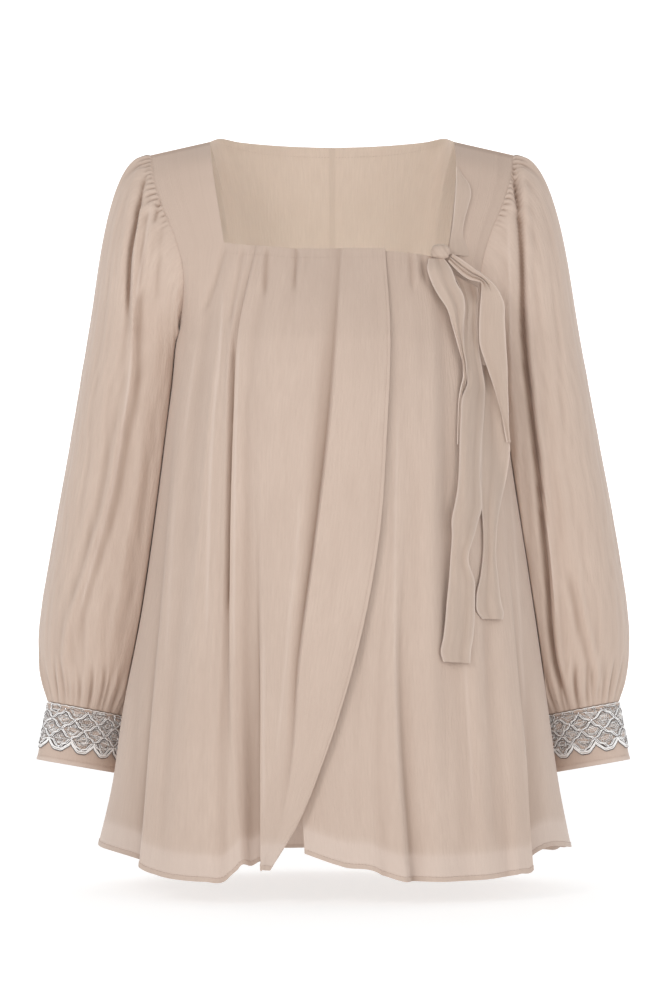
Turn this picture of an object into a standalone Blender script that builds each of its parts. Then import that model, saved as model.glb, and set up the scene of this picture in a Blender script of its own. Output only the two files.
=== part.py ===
"""Tie-neck blouse: a wrap front over a full back, gathered sleeves, lace cuffs and a bow.

The blouse is filled out as if worn, with nobody in it.  Metres, +Z up.  The front faces -Y,
+X is the wearer's left, and the origin lies midway between the two shoulder points of the
neck, on the line where the shoulders carry the blouse.

Each cut piece is a wall of cloth: an outer skin worked out from the tables below, and an
inner skin one cloth's thickness behind it.  The tables are in millimetres and read as a
pattern maker writes them: "drop" is the distance down from the shoulder line, "lift" is how
far a fold stands out of the plain body, and a fold line runs from the neck to the hem.
"""
import math

import bpy
import numpy as np

MM = 0.001

# ---- driving sizes, millimetres ------------------------------------------------------------
CLOTH = 1.5                  # thickness of every cut piece
SEAM = 0.4                   # gap between two pieces where they are sewn together
ARMHOLE_SEAM = 0.55          # the same where a sleeve meets the body
CUFF_SEAM = 0.6              # the same where a sleeve meets its cuff
SHOULDER_FORWARD = 12.0      # the shoulder seam lies this far in front of the shoulder line
UNDERARM = 210.0             # drop of the underarm point
ARM_CLEARANCE = 3.5          # least distance between a sleeve and the body's side
CUFF_DIAMONDS = 10           # lace diamonds round one cuff
LACE_THICKNESS = 1.0
LACE_STAND = 0.4             # lace stands this far off the cuff below it
LACE_SIDE_GAP = 0.2          # each half of the lace is drawn back this far at the side
LACE_BAR = 1.7               # half the width of one bar of the lace trellis
RIBBON = 1.5                 # thickness of the tie

# ---- the body as rings: half widths to each side, and depth to the front and the back ------
BODY_RINGS = (
    # drop, to -X, to +X, front, back
    (210, 160, 160, 131, 118),
    (250, 163, 167, 140, 121),
    (290, 168, 176, 146, 124),
    (370, 178, 189, 150, 130),
    (490, 195, 207, 157, 143),
    (590, 214, 221, 166, 157),
    (660, 224, 231, 173, 168),
    (745, 244, 248, 182, 182),
)
FRONT_CENTRE = (
    # drop, depth of the centre front above the underarm
    (100, 78), (120, 88), (150, 104), (180, 119), (210, 131),
)
FRONT_ARMHOLE = (
    # drop, out from the centre, forward, degrees that the chest turns from centre to edge
    (20.5, 184.0, 12.0, 40),
    (45, 180.5, 30.0, 43),
    (70, 173.0, 42.0, 46),
    (99, 161.0, 52.0, 50),
    (129, 151.5, 57.0, 55),
    (150, 149.0, 55.0, 60),
    (175, 151.0, 42.0, 70),
    (195, 155.5, 22.0, 81),
    (210, 160.0, 0.0, 90),
)
BACK_ARMHOLE = (
    # drop, out, backward, degrees that the back turns from centre to edge
    (20.5, 184.0, -12.0, 46),
    (19.5, 184.5, 10.0, 49),
    (31, 181.0, 36.0, 53),
    (58, 173.0, 56.0, 58),
    (92, 164.0, 66.0, 64),
    (124, 157.5, 66.0, 69),
    (156, 154.5, 55.0, 75),
    (184, 156.0, 33.0, 82),
    (210, 160.0, 0.0, 90),
)
NECK_EDGE = {
    # drop, out, forward along the side of the square neck, from the shoulder seam down
    "right": ((7, 124.5, 12), (22, 122.5, 34), (47, 119.0, 50), (80, 113.5, 62),
              (113.5, 108.0, 72)),
    "left": ((7, 124.5, 12), (22, 125.2, 34), (49, 124.5, 50), (90, 120.0, 64),
             (128.5, 114.6, 73)),
}

# ---- fold lines of the two fronts, from the neck (level 0) to the hem (level 1) ------------
LEVELS = (0.0, 0.13, 0.29, 0.48, 0.67, 0.83, 0.93, 1.0)
SEAM_LINE = None             # a fold line that lies on the side seam itself
OVERLAY_LINES = (
    # name, cells to the next line, drop at the neck, drop at the hem, x at each level,
    # lift at each level
    ("side", 3, 113.5, 719.8, SEAM_LINE, (0, 0, 0, 0, 0, 0, 0, 0)),
    ("hollow", 1, 113.5, 727.5, (-143, -146.5, -158, -168, -177, -185, -189, -191),
     (0, 0, 0, -1, -2, -3, -3, -3)),
    ("flank", 2, 113.5, 733.3, (-134, -138, -150, -161, -170, -176, -180, -184),
     (0, 0, 1, 2, 4, 7, 8, 9)),
    ("corner", 2, 113.5, 738.5, (-108, -126, -137, -147, -154, -160, -163, -166),
     (0, -2, -1, 1, 4, 8, 10, 12)),
    ("ridge", 2, 115.0, 741.5, (-99, -109, -116, -125, -135, -141, -145, -148),
     (0.6, 1.5, 3, 5, 8, 11, 12.5, 14)),
    ("slope", 2, 116.0, 742.4, (-88, -100, -107, -114, -118, -119, -119, -119),
     (1, 0, 1, 3, 6, 10, 12.5, 14)),
    ("first_tuck", 1, 117.0, 737.5, (-76, -92.7, -97.5, -100, -101, -100, -99, -98),
     (0, -2, -2.5, -1.5, 1, 3, 4, 4)),
    ("first_edge", 2, 117.0, 730.7, (-73.6, -90.5, -95, -97.5, -98, -96, -93, -91),
     (1.4, 2.5, 4, 5.5, 5, 3, 2, 1)),
    ("valley", 1, 118.0, 728.0, (-63, -80, -84, -84, -84, -82, -81, -81),
     (1, 1.5, 1, -1, -4, -8, -9.5, -10)),
    ("tail_tuck", 1, 119.0, 724.0, (-54, -70, -75, -74, -72, -70, -69.5, -69.4),
     (1.2, 2.5, 2.5, 1, -3, -6.5, -7.5, -8)),
    ("tail_edge", 1, 119.8, 729.5, (-46, -62, -68, -68, -68.5, -68, -67.8, -67.5),
     (1.2, 3, 3.5, 3, 4, 7, 8, 8.5)),
    ("short_tuck", 1, 120.6, 730.0, (-36.4, -38, -48, -54, -56, -57, -61, -66),
     (-0.2, 3.8, 5, 5, 6, 7.5, 8.2, 8.6)),
    ("short_edge", 2, 120.6, 730.1, (-34, -34, -44, -50, -53, -55, -59.5, -65.2),
     (1.8, 4.4, 5.4, 5.4, 6.4, 7.6, 8.2, 8.7)),
    ("panel", 3, 120.8, 730.1, (-12, -16, -24, -33, -42, -46, -54, -64),
     (1.4, 5, 6.5, 7, 7.5, 8, 8.5, 8.8)),
    ("band_tuck", 1, 120.5, 730.2, (7.5, 2.5, -5, -18, -33, -40, -50, -63),
     (0.4, 1.5, 1, 0.5, 3, 7, 8.5, 8.9)),
    ("band_edge", 2, 120.3, 730.2, (10.5, 6.5, -1, -14.5, -29, -37, -47.5, -62),
     (2.8, 6.5, 8, 9, 9.5, 9, 9, 9)),
    ("band", 2, 120.3, 730.2, (31, 31, 26, 15, -4, -23, -40, -60.2),
     (1.8, 5.5, 7, 8, 8.5, 9, 9.5, 9)),
    ("free_edge", 0, 120.3, 730.2, (52.8, 56.2, 53, 44.5, 21.8, -8.5, -33, -58.1),
     (1.3, 4, 5, 5.5, 6, 7, 8, 9)),
)
UNDER_LINES = (
    ("hidden_edge", 2, 122.5, 714.5, (-44, -43, -41, -39, -35, -31, -29, -26.5),
     (-2.8, -5, -6, -6, -5, -4, -2, 0)),
    ("crossing", 2, 122.5, 725.9, (8, 6, 2, -4, -8, -6, 2, 8),
     (-2.4, -5, -6, -6, -4, -1, 1, 2)),
    ("lee", 1, 123.0, 735.0, (56, 62, 60, 56, 46, 44, 46, 48),
     (-1.2, -1, -1, -1, 0, 2, 3, 4)),
    ("ridge", 1, 123.5, 741.5, (66, 69, 67, 64, 60, 63, 67, 70),
     (-0.9, 0, 0, 1, 4, 6, 7.5, 8.5)),
    ("ridge_foot", 2, 124.2, 742.0, (73, 76, 75, 72, 68, 72, 77, 80),
     (-0.7, 0, 0, -1, -2, -3, -3.5, -4)),
    ("breast", 1, 126.0, 743.0, (90, 98, 98, 96, 96, 100, 104, 108),
     (-0.6, 1, 2, 3, 3, 3, 3, 3)),
    ("bow_hollow", 1, 128.5, 743.0, (102, 112, 115, 115, 117, 122, 126, 130),
     (-0.5, -2, -3, -4, -3, -1, 0, 1)),
    ("corner", 2, 128.5, 742.3, (114.6, 127, 132, 136, 140, 145, 148, 151),
     (0, 0, 1, 2, 3, 4, 4.5, 5)),
    ("shelf", 1, 128.5, 740.8, (125, 136, 145, 152, 157, 163, 167, 170),
     (0, 0, 0, 0, 1, 3, 3, 3.5)),
    ("outer_ridge", 1, 128.5, 738.6, (134, 143, 156, 165, 172, 176.5, 178.5, 180),
     (0, 0, 0, 1, 4, 7, 8, 9)),
    ("return_edge", 1, 128.5, 736.2, (138.5, 147, 161, 172.5, 182, 189, 191.5, 193.5),
     (0, 0, 0, 1, 3, 6, 7, 8)),
    ("return_foot", 3, 128.5, 728.5, (142, 150.5, 164.5, 176, 185, 192, 194.5, 196.5),
     (0, 0, 0, 0, -1, -3, -4, -5)),
    ("side", 0, 128.5, 723.5, SEAM_LINE, (0, 0, 0, 0, 0, 0, 0, 0)),
)
FRONT_ROWS = (0, 0.03, 0.07, 0.115, 0.165, 0.22, 0.29, 0.36, 0.43, 0.50, 0.57, 0.64, 0.71,
              0.78, 0.84, 0.89, 0.93, 0.97, 1.0)
UNDERARM_ROW = 4             # this row's end lies at the underarm point
STRAP_ROWS = 5

# ---- the backs: flutes between the centre seam and the side seam ---------------------------
BACK_NECK = (
    # turn (0 centre back, 1 side seam), out, backward, drop of the neck edge
    (0.0, 0.0, 60.0, 6.0),
    (0.15, 34.0, 57.0, 5.4),
    (0.30, 68.0, 48.5, 4.2),
    (0.42, 97.0, 34.0, 2.6),
    (0.50, 116.0, 14.0, 1.2),
    (0.55, 124.5, -12.0, 7.0),
)
BACK_CENTRE = (              # out, backward and height of a curve's four controls
    (0.0, 60.0, -6.0), (0.0, 90.0, -46.0), (0.0, 121.0, -135.0), (0.0, 118.0, -210.0),
)
SHOULDER_RISE = 12.0         # the back's rise over the shoulder
BACK_LEVELS = (0.0, 0.25, 0.5, 0.75, 1.0)
BACK_LINES = (
    # turn at the underarm, turn at the hem, cells, drop at the hem, lift at each level
    (0.0, 0.0, 2, 742, (0, 0, 0, 1, 1)),
    (0.13, 0.12, 2, 743, (0, 1, 3, 5, 7)),
    (0.26, 0.25, 2, 739, (0, -1, -2, -4, -6)),
    (0.42, 0.42, 2, 741, (0, 1, 4, 7, 10)),
    (0.55, 0.56, 2, 736, (0, 0, -2, -4, -5)),
    (0.70, 0.70, 2, 735, (0, 1, 3, 5, 7)),
    (0.85, 0.86, 2, 728, (0, 0, -1, -2, -3)),
    (1.0, 1.0, 0, 720, (0, 0, 0, 0, 0)),
)
BACK_TOP_ROWS = 8
BACK_SKIRT_ROWS = 10
BACK_VARIATION = {"right": (1.0, 0.0), "left": (0.8, 0.025)}   # lift scale, turn drift

# ---- the sleeves: rings square to the arm, widest above the cuff ---------------------------
SLEEVE_RINGS = (
    # along, outer x, outer drop, inner x, inner drop, outer y, inner y, half depth
    (0.00, 248.5, 205.0, 152.0, 238.0, 12, 34, 56),
    (0.25, 265.0, 300.0, 158.0, 328.0, 18, 40, 60),
    (0.52, 283.0, 400.0, 170.0, 426.0, 22, 46, 62),
    (0.74, 295.5, 480.0, 182.0, 503.0, 24, 55, 62),
    (0.85, 299.0, 518.0, 191.0, 539.0, 25, 60, 60),
    (0.93, 297.0, 547.0, 201.0, 567.0, 26, 64, 53),
    (1.00, 290.3, 578.0, 213.0, 596.0, 27, 66, 30),
)
CUFF_BOTTOM = (302.0, 637.5, 223.5, 654.5, 28, 68, 30.5)
SLEEVE_SPREAD = {"right": (0.0, 0.0, 0.0), "left": (3.5, 6.0, 2.5)}   # head, elbow, cuff
SLEEVE_COLUMNS = 44
HEAD_ROWS = 5
ARM_ROWS = (0.10, 0.22, 0.35, 0.48, 0.61, 0.73, 0.83, 0.91, 0.96, 1.0)
HEAD_GATHER = (3.0, 80.0, 0.55)      # lift, reach either side of the top (degrees), fade
CUFF_GATHER = (2.6, 0.80, 0.95)      # lift, where it starts along the arm, where it is full
FOLD_PLACES = (0.0, 0.25, 0.5, 0.75, 1.0)     # shares of the way from the armhole to the cuff
SLEEVE_FOLDS = {
    # degrees round from the outside towards the front at each place, half width in degrees,
    # lift, first and last share of the way that the fold reaches
    "right": (
        ((68, 62, 66, 62, 44), 15, 4.5, 0.02, 0.98),
        ((95, 88, 92, 88, 66), 13, -5.0, 0.05, 0.99),
        ((122, 118, 118, 112, 96), 14, 3.0, 0.20, 0.97),
        ((30, 30, 28, 26, 20), 14, 3.0, 0.20, 0.97),
        ((-28, -28, -30, -34, -36), 16, 3.5, 0.20, 0.97),
        ((-70, -72, -76, -80, -82), 20, 4.0, 0.08, 0.95),
        ((-112, -113, -115, -117, -118), 16, -4.0, 0.15, 0.92),
        ((-150, -150, -150, -150, -150), 18, 3.0, 0.35, 0.96),
    ),
    "left": (
        ((88, 90, 96, 100, 94), 15, 4.5, 0.02, 0.98),
        ((112, 114, 120, 124, 117), 12, -5.5, 0.02, 0.99),
        ((140, 142, 146, 148, 142), 13, 3.0, 0.20, 0.97),
        ((35, 36, 40, 44, 40), 14, 3.0, 0.15, 0.97),
        ((-28, -26, -24, -22, -20), 16, 3.5, 0.20, 0.97),
        ((-66, -66, -68, -70, -72), 18, 4.0, 0.08, 0.95),
        ((-104, -106, -110, -112, -114), 16, -4.0, 0.15, 0.92),
        ((-146, -146, -148, -150, -150), 18, 3.0, 0.35, 0.96),
    ),
}
SLEEVE_SQUARENESS = 0.80     # below 1 the rings are fuller than ovals, as far as RING_ROUND
RING_ROUND = (0.72, 0.96)    # stations between which they turn into plain ovals
HEAD_LEAVE = (30.0, 16.0)    # how far the head leans out of the armhole: mean, extra at the top
HEAD_ARRIVE = (41.5, 33.5)   # how far up it points where it meets the first ring: mean, extra
SIDE_SOFTNESS = 4.0          # the sleeve bends round the body's side this softly
SIDE_GROWTH = (2.0, 350.0, 650.0)    # more clearance below the elbow: how much, from, to

# ---- lace: a trellis of diamonds with a scalloped lower edge -------------------------------
LACE_TOP = 0.02              # of the cuff's height
LACE_NODE_ROWS = (0.075, 0.235, 0.395, 0.555, 0.715)
LACE_TIP = 0.745             # the scallops reach this far down the cuff
LACE_STEP = 11.6             # half a diamond's width, millimetres
CUFF_HEIGHT = 60.0

# ---- the tie: each strip by its two edges, and how far each stands off the front -----------
BOW_STRIPS = {
    # x and drop of the edge towards -X, x and drop of the other edge, stand of each edge
    "tie_loop_left": (
        (96.4, 130.6, 111.6, 130.6, 6.6, 6.8),
        (94.8, 139.5, 118.0, 139.5, 9.5, 10.0),
        (98.5, 153.5, 123.8, 154.5, 8.5, 11.5),
        (106.0, 168.0, 131.3, 168.5, 8.5, 11.5),
        (114.0, 180.0, 132.2, 180.0, 8.5, 11.0),
        (119.5, 196.0, 130.8, 196.0, 8.5, 10.5),
        (126.5, 220.0, 131.0, 220.0, 8.5, 10.0),
        (130.6, 239.0, 133.2, 239.0, 7.5, 8.0),
        (131.0, 249.0, 133.4, 249.0, 6.5, 6.5),
        (128.6, 259.0, 132.4, 259.0, 4.6, 4.2),
        (126.6, 270.0, 132.0, 270.0, 3.4, 3.2),
        (125.2, 291.0, 131.4, 291.0, 3.2, 3.0),
        (124.6, 316.0, 131.0, 316.0, 3.0, 2.8),
    ),
    "tie_loop_right": (
        (115.8, 132.6, 120.2, 125.8, 7.5, 8.4),
        (122.5, 140.0, 126.6, 129.5, 9.5, 11.5),
        (130.5, 147.0, 134.6, 135.0, 10.0, 13.0),
        (137.5, 151.0, 141.5, 140.0, 10.5, 13.5),
        (144.5, 152.5, 147.6, 144.2, 10.5, 13.5),
        (149.0, 154.2, 154.2, 149.8, 10.5, 13.0),
        (149.3, 159.5, 162.0, 156.5, 10.5, 12.5),
        (148.6, 168.0, 169.6, 169.0, 10.5, 11.5),
        (147.0, 194.0, 172.4, 194.0, 10.0, 10.5),
        (147.6, 216.0, 173.8, 216.0, 10.0, 9.5),
        (153.6, 235.0, 175.0, 235.0, 9.5, 9.5),
        (161.5, 258.0, 175.5, 258.0, 9.0, 9.5),
        (170.5, 290.0, 176.2, 290.0, 8.5, 9.0),
        (175.4, 313.5, 178.0, 313.5, 8.0, 8.0),
    ),
    "tie_tail_long": (
        (121.0, 146.0, 145.5, 158.5, 4.0, 5.0),
        (127.0, 158.0, 146.5, 170.0, 4.5, 5.5),
        (131.6, 172.0, 145.8, 176.5, 6.0, 6.5),
        (131.2, 196.0, 145.2, 196.0, 6.0, 6.5),
        (131.2, 220.0, 146.8, 220.0, 6.0, 7.0),
        (134.2, 244.0, 150.6, 244.0, 6.0, 7.0),
        (134.4, 256.0, 152.4, 256.0, 6.0, 7.0),
        (129.6, 268.0, 152.2, 268.0, 6.5, 7.0),
        (127.8, 289.0, 151.0, 289.0, 6.5, 6.5),
        (126.4, 312.0, 148.6, 312.0, 6.5, 6.0),
        (125.2, 351.0, 147.4, 351.0, 6.5, 6.0),
        (122.4, 370.0, 148.4, 379.0, 6.0, 6.0),
        (118.2, 391.0, 144.5, 392.0, 5.5, 6.0),
        (118.4, 404.0, 141.0, 404.0, 5.0, 7.5),
        (116.6, 430.0, 134.4, 430.0, 4.0, 7.5),
        (115.0, 453.0, 141.0, 453.0, 4.0, 6.0),
        (113.6, 466.0, 141.0, 466.0, 4.0, 4.5),
        (109.6, 506.0, 139.0, 506.0, 4.0, 4.0),
        (107.0, 521.0, 136.6, 521.0, 4.0, 4.0),
        (109.6, 529.5, 136.0, 531.5, 4.0, 4.0),
    ),
    "tie_tail_short": (
        (150.6, 236.0, 168.0, 236.0, 1.9, 1.9),
        (152.0, 256.0, 172.0, 256.0, 3.5, 4.5),
        (149.8, 280.0, 174.6, 280.0, 3.5, 5.0),
        (148.6, 300.0, 176.4, 300.0, 3.5, 5.5),
        (147.8, 326.0, 178.0, 322.0, 4.0, 6.0),
        (147.8, 350.0, 174.0, 350.0, 4.0, 6.0),
        (148.0, 371.0, 169.0, 371.0, 4.0, 6.0),
        (149.0, 384.0, 166.0, 384.0, 3.5, 6.5),
        (150.2, 404.0, 163.6, 404.0, 3.5, 7.0),
        (150.0, 423.0, 162.8, 427.0, 3.5, 6.5),
        (147.4, 445.0, 165.0, 450.0, 3.5, 5.5),
        (142.6, 468.0, 168.0, 474.0, 3.5, 5.0),
        (143.6, 481.0, 170.4, 484.0, 3.0, 3.6),
        (149.0, 488.5, 169.4, 489.5, 2.6, 3.0),
    ),
}
HANG_DEPTH = 62.0            # the bow hangs at least this far forward of the shoulder line
HANG_SOFTNESS = 4.0
FLATTEST = 0.6               # least slope taken into account when a strip is moved forward
STRIP_COLUMNS = 3
STRIP_CROWN = 1.2            # the middle of a strip stands this far out of its edges
NECK_TIE = (
    # along the strap (0 shoulder seam, 1 corner of the neck), inner and outer edge across it
    # (0 neck edge, 1 armhole), stand
    (0.25, 0.01, 0.03, 2.0),
    (0.34, 0.00, 0.19, 2.2),
    (0.45, 0.00, 0.28, 2.4),
    (0.56, 0.01, 0.30, 2.6),
    (0.67, 0.02, 0.32, 2.8),
    (0.78, 0.03, 0.36, 3.2),
    (0.87, 0.05, 0.34, 3.8),
    (0.93, 0.04, 0.26, 5.0),
)
KNOT = (108.0, 123.6, 12.0, 7.0, 5.6)    # x, drop, half width, half height, half depth
KNOT_STAND = 6.7                         # its middle, off the front
KNOT_SQUARENESS = 2.6
SHOULDER_OUT = np.array([0.0, -0.52, 0.854])     # out of the cloth along the shoulder seam

CLOTH_COLOUR = (0.62, 0.49, 0.41)
TIE_COLOUR = (0.60, 0.47, 0.395)
LACE_COLOUR = (0.62, 0.61, 0.61)


# ---- small tools ---------------------------------------------------------------------------
def column(table, index):
    """One column of a table, as an array."""
    return np.array([row[index] for row in table], dtype=float)


def through(knots, values, at):
    """A smooth curve through a table's values, read at any places between its knots."""
    knots = np.asarray(knots, dtype=float)
    values = np.asarray(values, dtype=float)
    slopes = np.gradient(values, knots, axis=-1)
    at = np.clip(at, knots[0], knots[-1])
    cell = np.clip(np.searchsorted(knots, at, side="right") - 1, 0, len(knots) - 2)
    width = knots[cell + 1] - knots[cell]
    u = (at - knots[cell]) / width

    def pick(array, index):
        if array.ndim == 1:
            return array[index]
        return np.take_along_axis(array, index, axis=-1)

    start, end = pick(values, cell), pick(values, cell + 1)
    leave, arrive = pick(slopes, cell) * width, pick(slopes, cell + 1) * width
    return ((2 * u ** 3 - 3 * u ** 2 + 1) * start + (u ** 3 - 2 * u ** 2 + u) * leave
            + (3 * u ** 2 - 2 * u ** 3) * end + (u ** 3 - u ** 2) * arrive)


def ease(u):
    """0 to 1 with a level start and finish."""
    u = np.clip(u, 0.0, 1.0)
    return u * u * (3.0 - 2.0 * u)


def unit(vectors):
    return vectors / np.linalg.norm(vectors, axis=-1, keepdims=True)


def by_length(points, share):
    """Points of a smooth curve, and what else their rows hold, at shares of its length."""
    steps = np.linalg.norm(np.diff(points[:, :3], axis=0), axis=1)
    length = np.concatenate(([0.0], np.cumsum(steps)))
    at = np.asarray(share, dtype=float) * length[-1]
    return np.stack([through(length, values, at) for values in points.T], axis=-1)


# ---- the plain body ------------------------------------------------------------------------
def front_sizes(drop):
    """Half widths, edge depth, turn and centre depth of the front at each drop."""
    shallow = np.minimum(drop, UNDERARM)
    deep = np.maximum(drop, UNDERARM)
    armhole = column(FRONT_ARMHOLE, 0)
    rings = column(BODY_RINGS, 0)
    above = drop < UNDERARM
    edge = through(armhole, column(FRONT_ARMHOLE, 1), shallow)
    right = np.where(above, edge, through(rings, column(BODY_RINGS, 1), deep))
    left = np.where(above, edge, through(rings, column(BODY_RINGS, 2), deep))
    forward = np.where(above, through(armhole, column(FRONT_ARMHOLE, 2), shallow), 0.0)
    turn = np.where(above, through(armhole, column(FRONT_ARMHOLE, 3), shallow), 90.0)
    centre = np.where(
        above,
        through(column(FRONT_CENTRE, 0), column(FRONT_CENTRE, 1), shallow),
        through(rings, column(BODY_RINGS, 3), deep))
    return right, left, forward, np.radians(turn), centre


def front_turn(x, drop):
    """Where x lies round the front: -1 at the right side seam, 1 at the left one."""
    right, left, _, turn, _ = front_sizes(drop)
    across = np.clip((x - (left - right) / 2) / ((left + right) / 2), -1.0, 1.0)
    return np.arcsin(across * np.sin(turn)) / turn


def front_point(round_, drop, lift):
    """A point of the front, moved out of the plain body by lift."""
    right, left, forward, turn, centre = front_sizes(drop)
    phi = round_ * turn
    wide = (left + right) / 2 / np.sin(turn)
    deep = (centre - forward) / (1 - np.cos(turn))
    x = (left - right) / 2 + wide * np.sin(phi)
    y = -forward - deep * (np.cos(phi) - np.cos(turn))
    out = unit(np.stack([deep * np.sin(phi), -wide * np.cos(phi)], axis=-1))
    return np.stack([x + out[..., 0] * lift, y + out[..., 1] * lift, -drop], axis=-1)


def back_point(round_, drop, lift):
    """A point of the back below the underarm; round_ is 0 at the centre, 1 at the +X seam."""
    rings = column(BODY_RINGS, 0)
    right = through(rings, column(BODY_RINGS, 1), drop)
    left = through(rings, column(BODY_RINGS, 2), drop)
    deep = through(rings, column(BODY_RINGS, 4), drop)
    phi = round_ * math.pi / 2
    wide = (left + right) / 2
    out = unit(np.stack([deep * np.sin(phi), wide * np.cos(phi)], axis=-1))
    x = (left - right) / 2 * np.abs(np.sin(phi)) + wide * np.sin(phi)
    y = deep * np.cos(phi)
    return np.stack([x + out[..., 0] * lift, y + out[..., 1] * lift, -drop], axis=-1)


# ---- fold lines ----------------------------------------------------------------------------
def line_tables(lines):
    """Neck drop, hem drop, x and lift of each fold line, as arrays."""
    neck = column(lines, 2)
    hem = column(lines, 3)
    lifts = np.array([line[5] for line in lines], dtype=float)
    places = np.full(lifts.shape, np.nan)
    for number, line in enumerate(lines):
        if line[4] is not SEAM_LINE:
            places[number] = line[4]
    return neck, hem, places, lifts


def lines_at(lines, level):
    """Turn, drop and lift of every fold line at levels given for each line."""
    neck, hem, places, lifts = line_tables(lines)
    drop = neck[:, None] + (hem - neck)[:, None] * level
    lift = through(LEVELS, lifts, level)
    on_seam = np.isnan(places[:, 0])
    x = through(LEVELS, np.nan_to_num(places), level)
    seam_side = -1.0 if on_seam[0] else 1.0
    round_ = np.where(on_seam[:, None], seam_side, front_turn(x, drop))
    return round_, drop, lift


def fold_columns(cells):
    """For each column of a grid: the fold line before it, and the share of the way on."""
    number = np.repeat(np.arange(len(cells) - 1), cells[:-1])
    share = np.concatenate([np.arange(count) / count for count in cells[:-1]])
    return np.append(number, len(cells) - 2), np.append(share, 1.0)


def front_levels(lines):
    """Levels of the rows on each fold line, bent so that one row ends at the underarm."""
    seam = 0 if lines[0][4] is SEAM_LINE else len(lines) - 1
    neck, hem = lines[seam][2:4]
    rows = np.array(FRONT_ROWS)
    turning, target = rows[UNDERARM_ROW], (UNDERARM - neck) / (hem - neck)
    bent = np.interp(rows, (0.0, turning, 1.0), (0.0, target, 1.0))
    nearness = np.clip(1 - np.abs(np.arange(len(lines)) - seam) / 3, 0, 1)[:, None]
    return rows * (1 - nearness) + bent * nearness


def front_grid(lines):
    """The pleated front below the neck: one column for each cell, one row for each level."""
    levels = front_levels(lines)
    round_, drop, lift = lines_at(lines, levels)
    before, share = fold_columns([line[1] for line in lines])
    along = share[:, None]
    soft = ease(along)
    round_ = round_[before] * (1 - along) + round_[before + 1] * along
    drop = drop[before] * (1 - along) + drop[before + 1] * along
    lift = lift[before] * (1 - soft) + lift[before + 1] * soft
    return front_point(round_, drop, lift).transpose(1, 0, 2)


def lift_under(x, drop):
    """How far the left front stands out of the plain body at given places."""
    neck, hem, places, lifts = line_tables(UNDER_LINES)
    level = (drop[None, :] - neck[:, None]) / (hem - neck)[:, None]
    level = np.clip(level, 0.0, 1.0)
    lines_x = through(LEVELS, np.nan_to_num(places, nan=400.0), level)
    lines_lift = through(LEVELS, lifts, level)
    before = np.clip((x[None, :] >= lines_x).sum(axis=0) - 1, 0, len(neck) - 2)
    pick = np.arange(len(x))
    start, end = lines_x[before, pick], lines_x[before + 1, pick]
    soft = ease((x - start) / (end - start))
    return lines_lift[before, pick] * (1 - soft) + lines_lift[before + 1, pick] * soft


def neck_edge(side, drop):
    """A point on the side edge of the square neck."""
    table = NECK_EDGE[side]
    sign = -1.0 if side == "right" else 1.0
    out = through(column(table, 0), column(table, 1), drop)
    forward = through(column(table, 0), column(table, 2), drop)
    return np.stack([sign * out, -forward, -drop], axis=-1)


def armhole_front(side, drop):
    """A point on the front edge of the armhole."""
    sign = -1.0 if side == "right" else 1.0
    drops = column(FRONT_ARMHOLE, 0)
    out = through(drops, column(FRONT_ARMHOLE, 1), drop)
    forward = through(drops, column(FRONT_ARMHOLE, 2), drop)
    return np.stack([sign * out, -forward, -drop], axis=-1)


def strap_point(side, along, across, foot):
    """A point of the strap between the neck edge (across 0) and the armhole (across 1).

    along runs from the shoulder seam (0) to the front's first row (1), whose own points are
    `foot`; the strap bends into them as it comes down.
    """
    seam_neck, seam_tip = NECK_EDGE[side][0][0], FRONT_ARMHOLE[0][0]
    corner_drop = NECK_EDGE[side][-1][0]

    def ruled(share):
        inner = neck_edge(side, seam_neck + (corner_drop - seam_neck) * share)
        outer = armhole_front(side, seam_tip + (corner_drop - seam_tip) * share)
        return inner * (1 - across[..., None]) + outer * across[..., None]

    pull = foot - ruled(np.ones_like(along))
    return ruled(along) + pull * (along ** 2)[..., None]


def front_panel(lines, side):
    """Grid and mask of a whole front: its strap to the shoulder seam, and its pleated part."""
    body = front_grid(lines)
    names = [line[0] for line in lines]
    cells = [line[1] for line in lines]
    corner = sum(cells[:names.index("corner")])
    count = body.shape[1]
    columns = np.arange(corner + 1) if side == "right" else np.arange(corner, count)
    foot = body[0, columns]
    x_neck, x_arm = (foot[-1, 0], foot[0, 0]) if side == "right" else (foot[0, 0], foot[-1, 0])
    across = (foot[:, 0] - x_neck) / (x_arm - x_neck)
    strap = np.repeat(body[:1], STRAP_ROWS, axis=0)
    for row in range(STRAP_ROWS):
        along = np.full(len(columns), row / STRAP_ROWS)
        strap[row, columns] = strap_point(side, along, across, foot)
    grid = np.concatenate([strap, body])
    grid[0, columns, 1] -= SEAM / 2
    edge = 0 if side == "right" else -1
    grid[:, edge, 1] -= SEAM / 2
    mask = np.ones((grid.shape[0] - 1, count - 1), dtype=bool)
    mask[:STRAP_ROWS] = False
    mask[:STRAP_ROWS, columns[:-1]] = True
    return grid, mask


def back_armhole(share):
    """Points of the back edge of the armhole, and how far the back turns to reach each."""
    table = np.array([(out, back, -drop, turn) for drop, out, back, turn in BACK_ARMHOLE])
    read = by_length(table, share)
    return read[:, :3], np.radians(read[:, 3])


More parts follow.
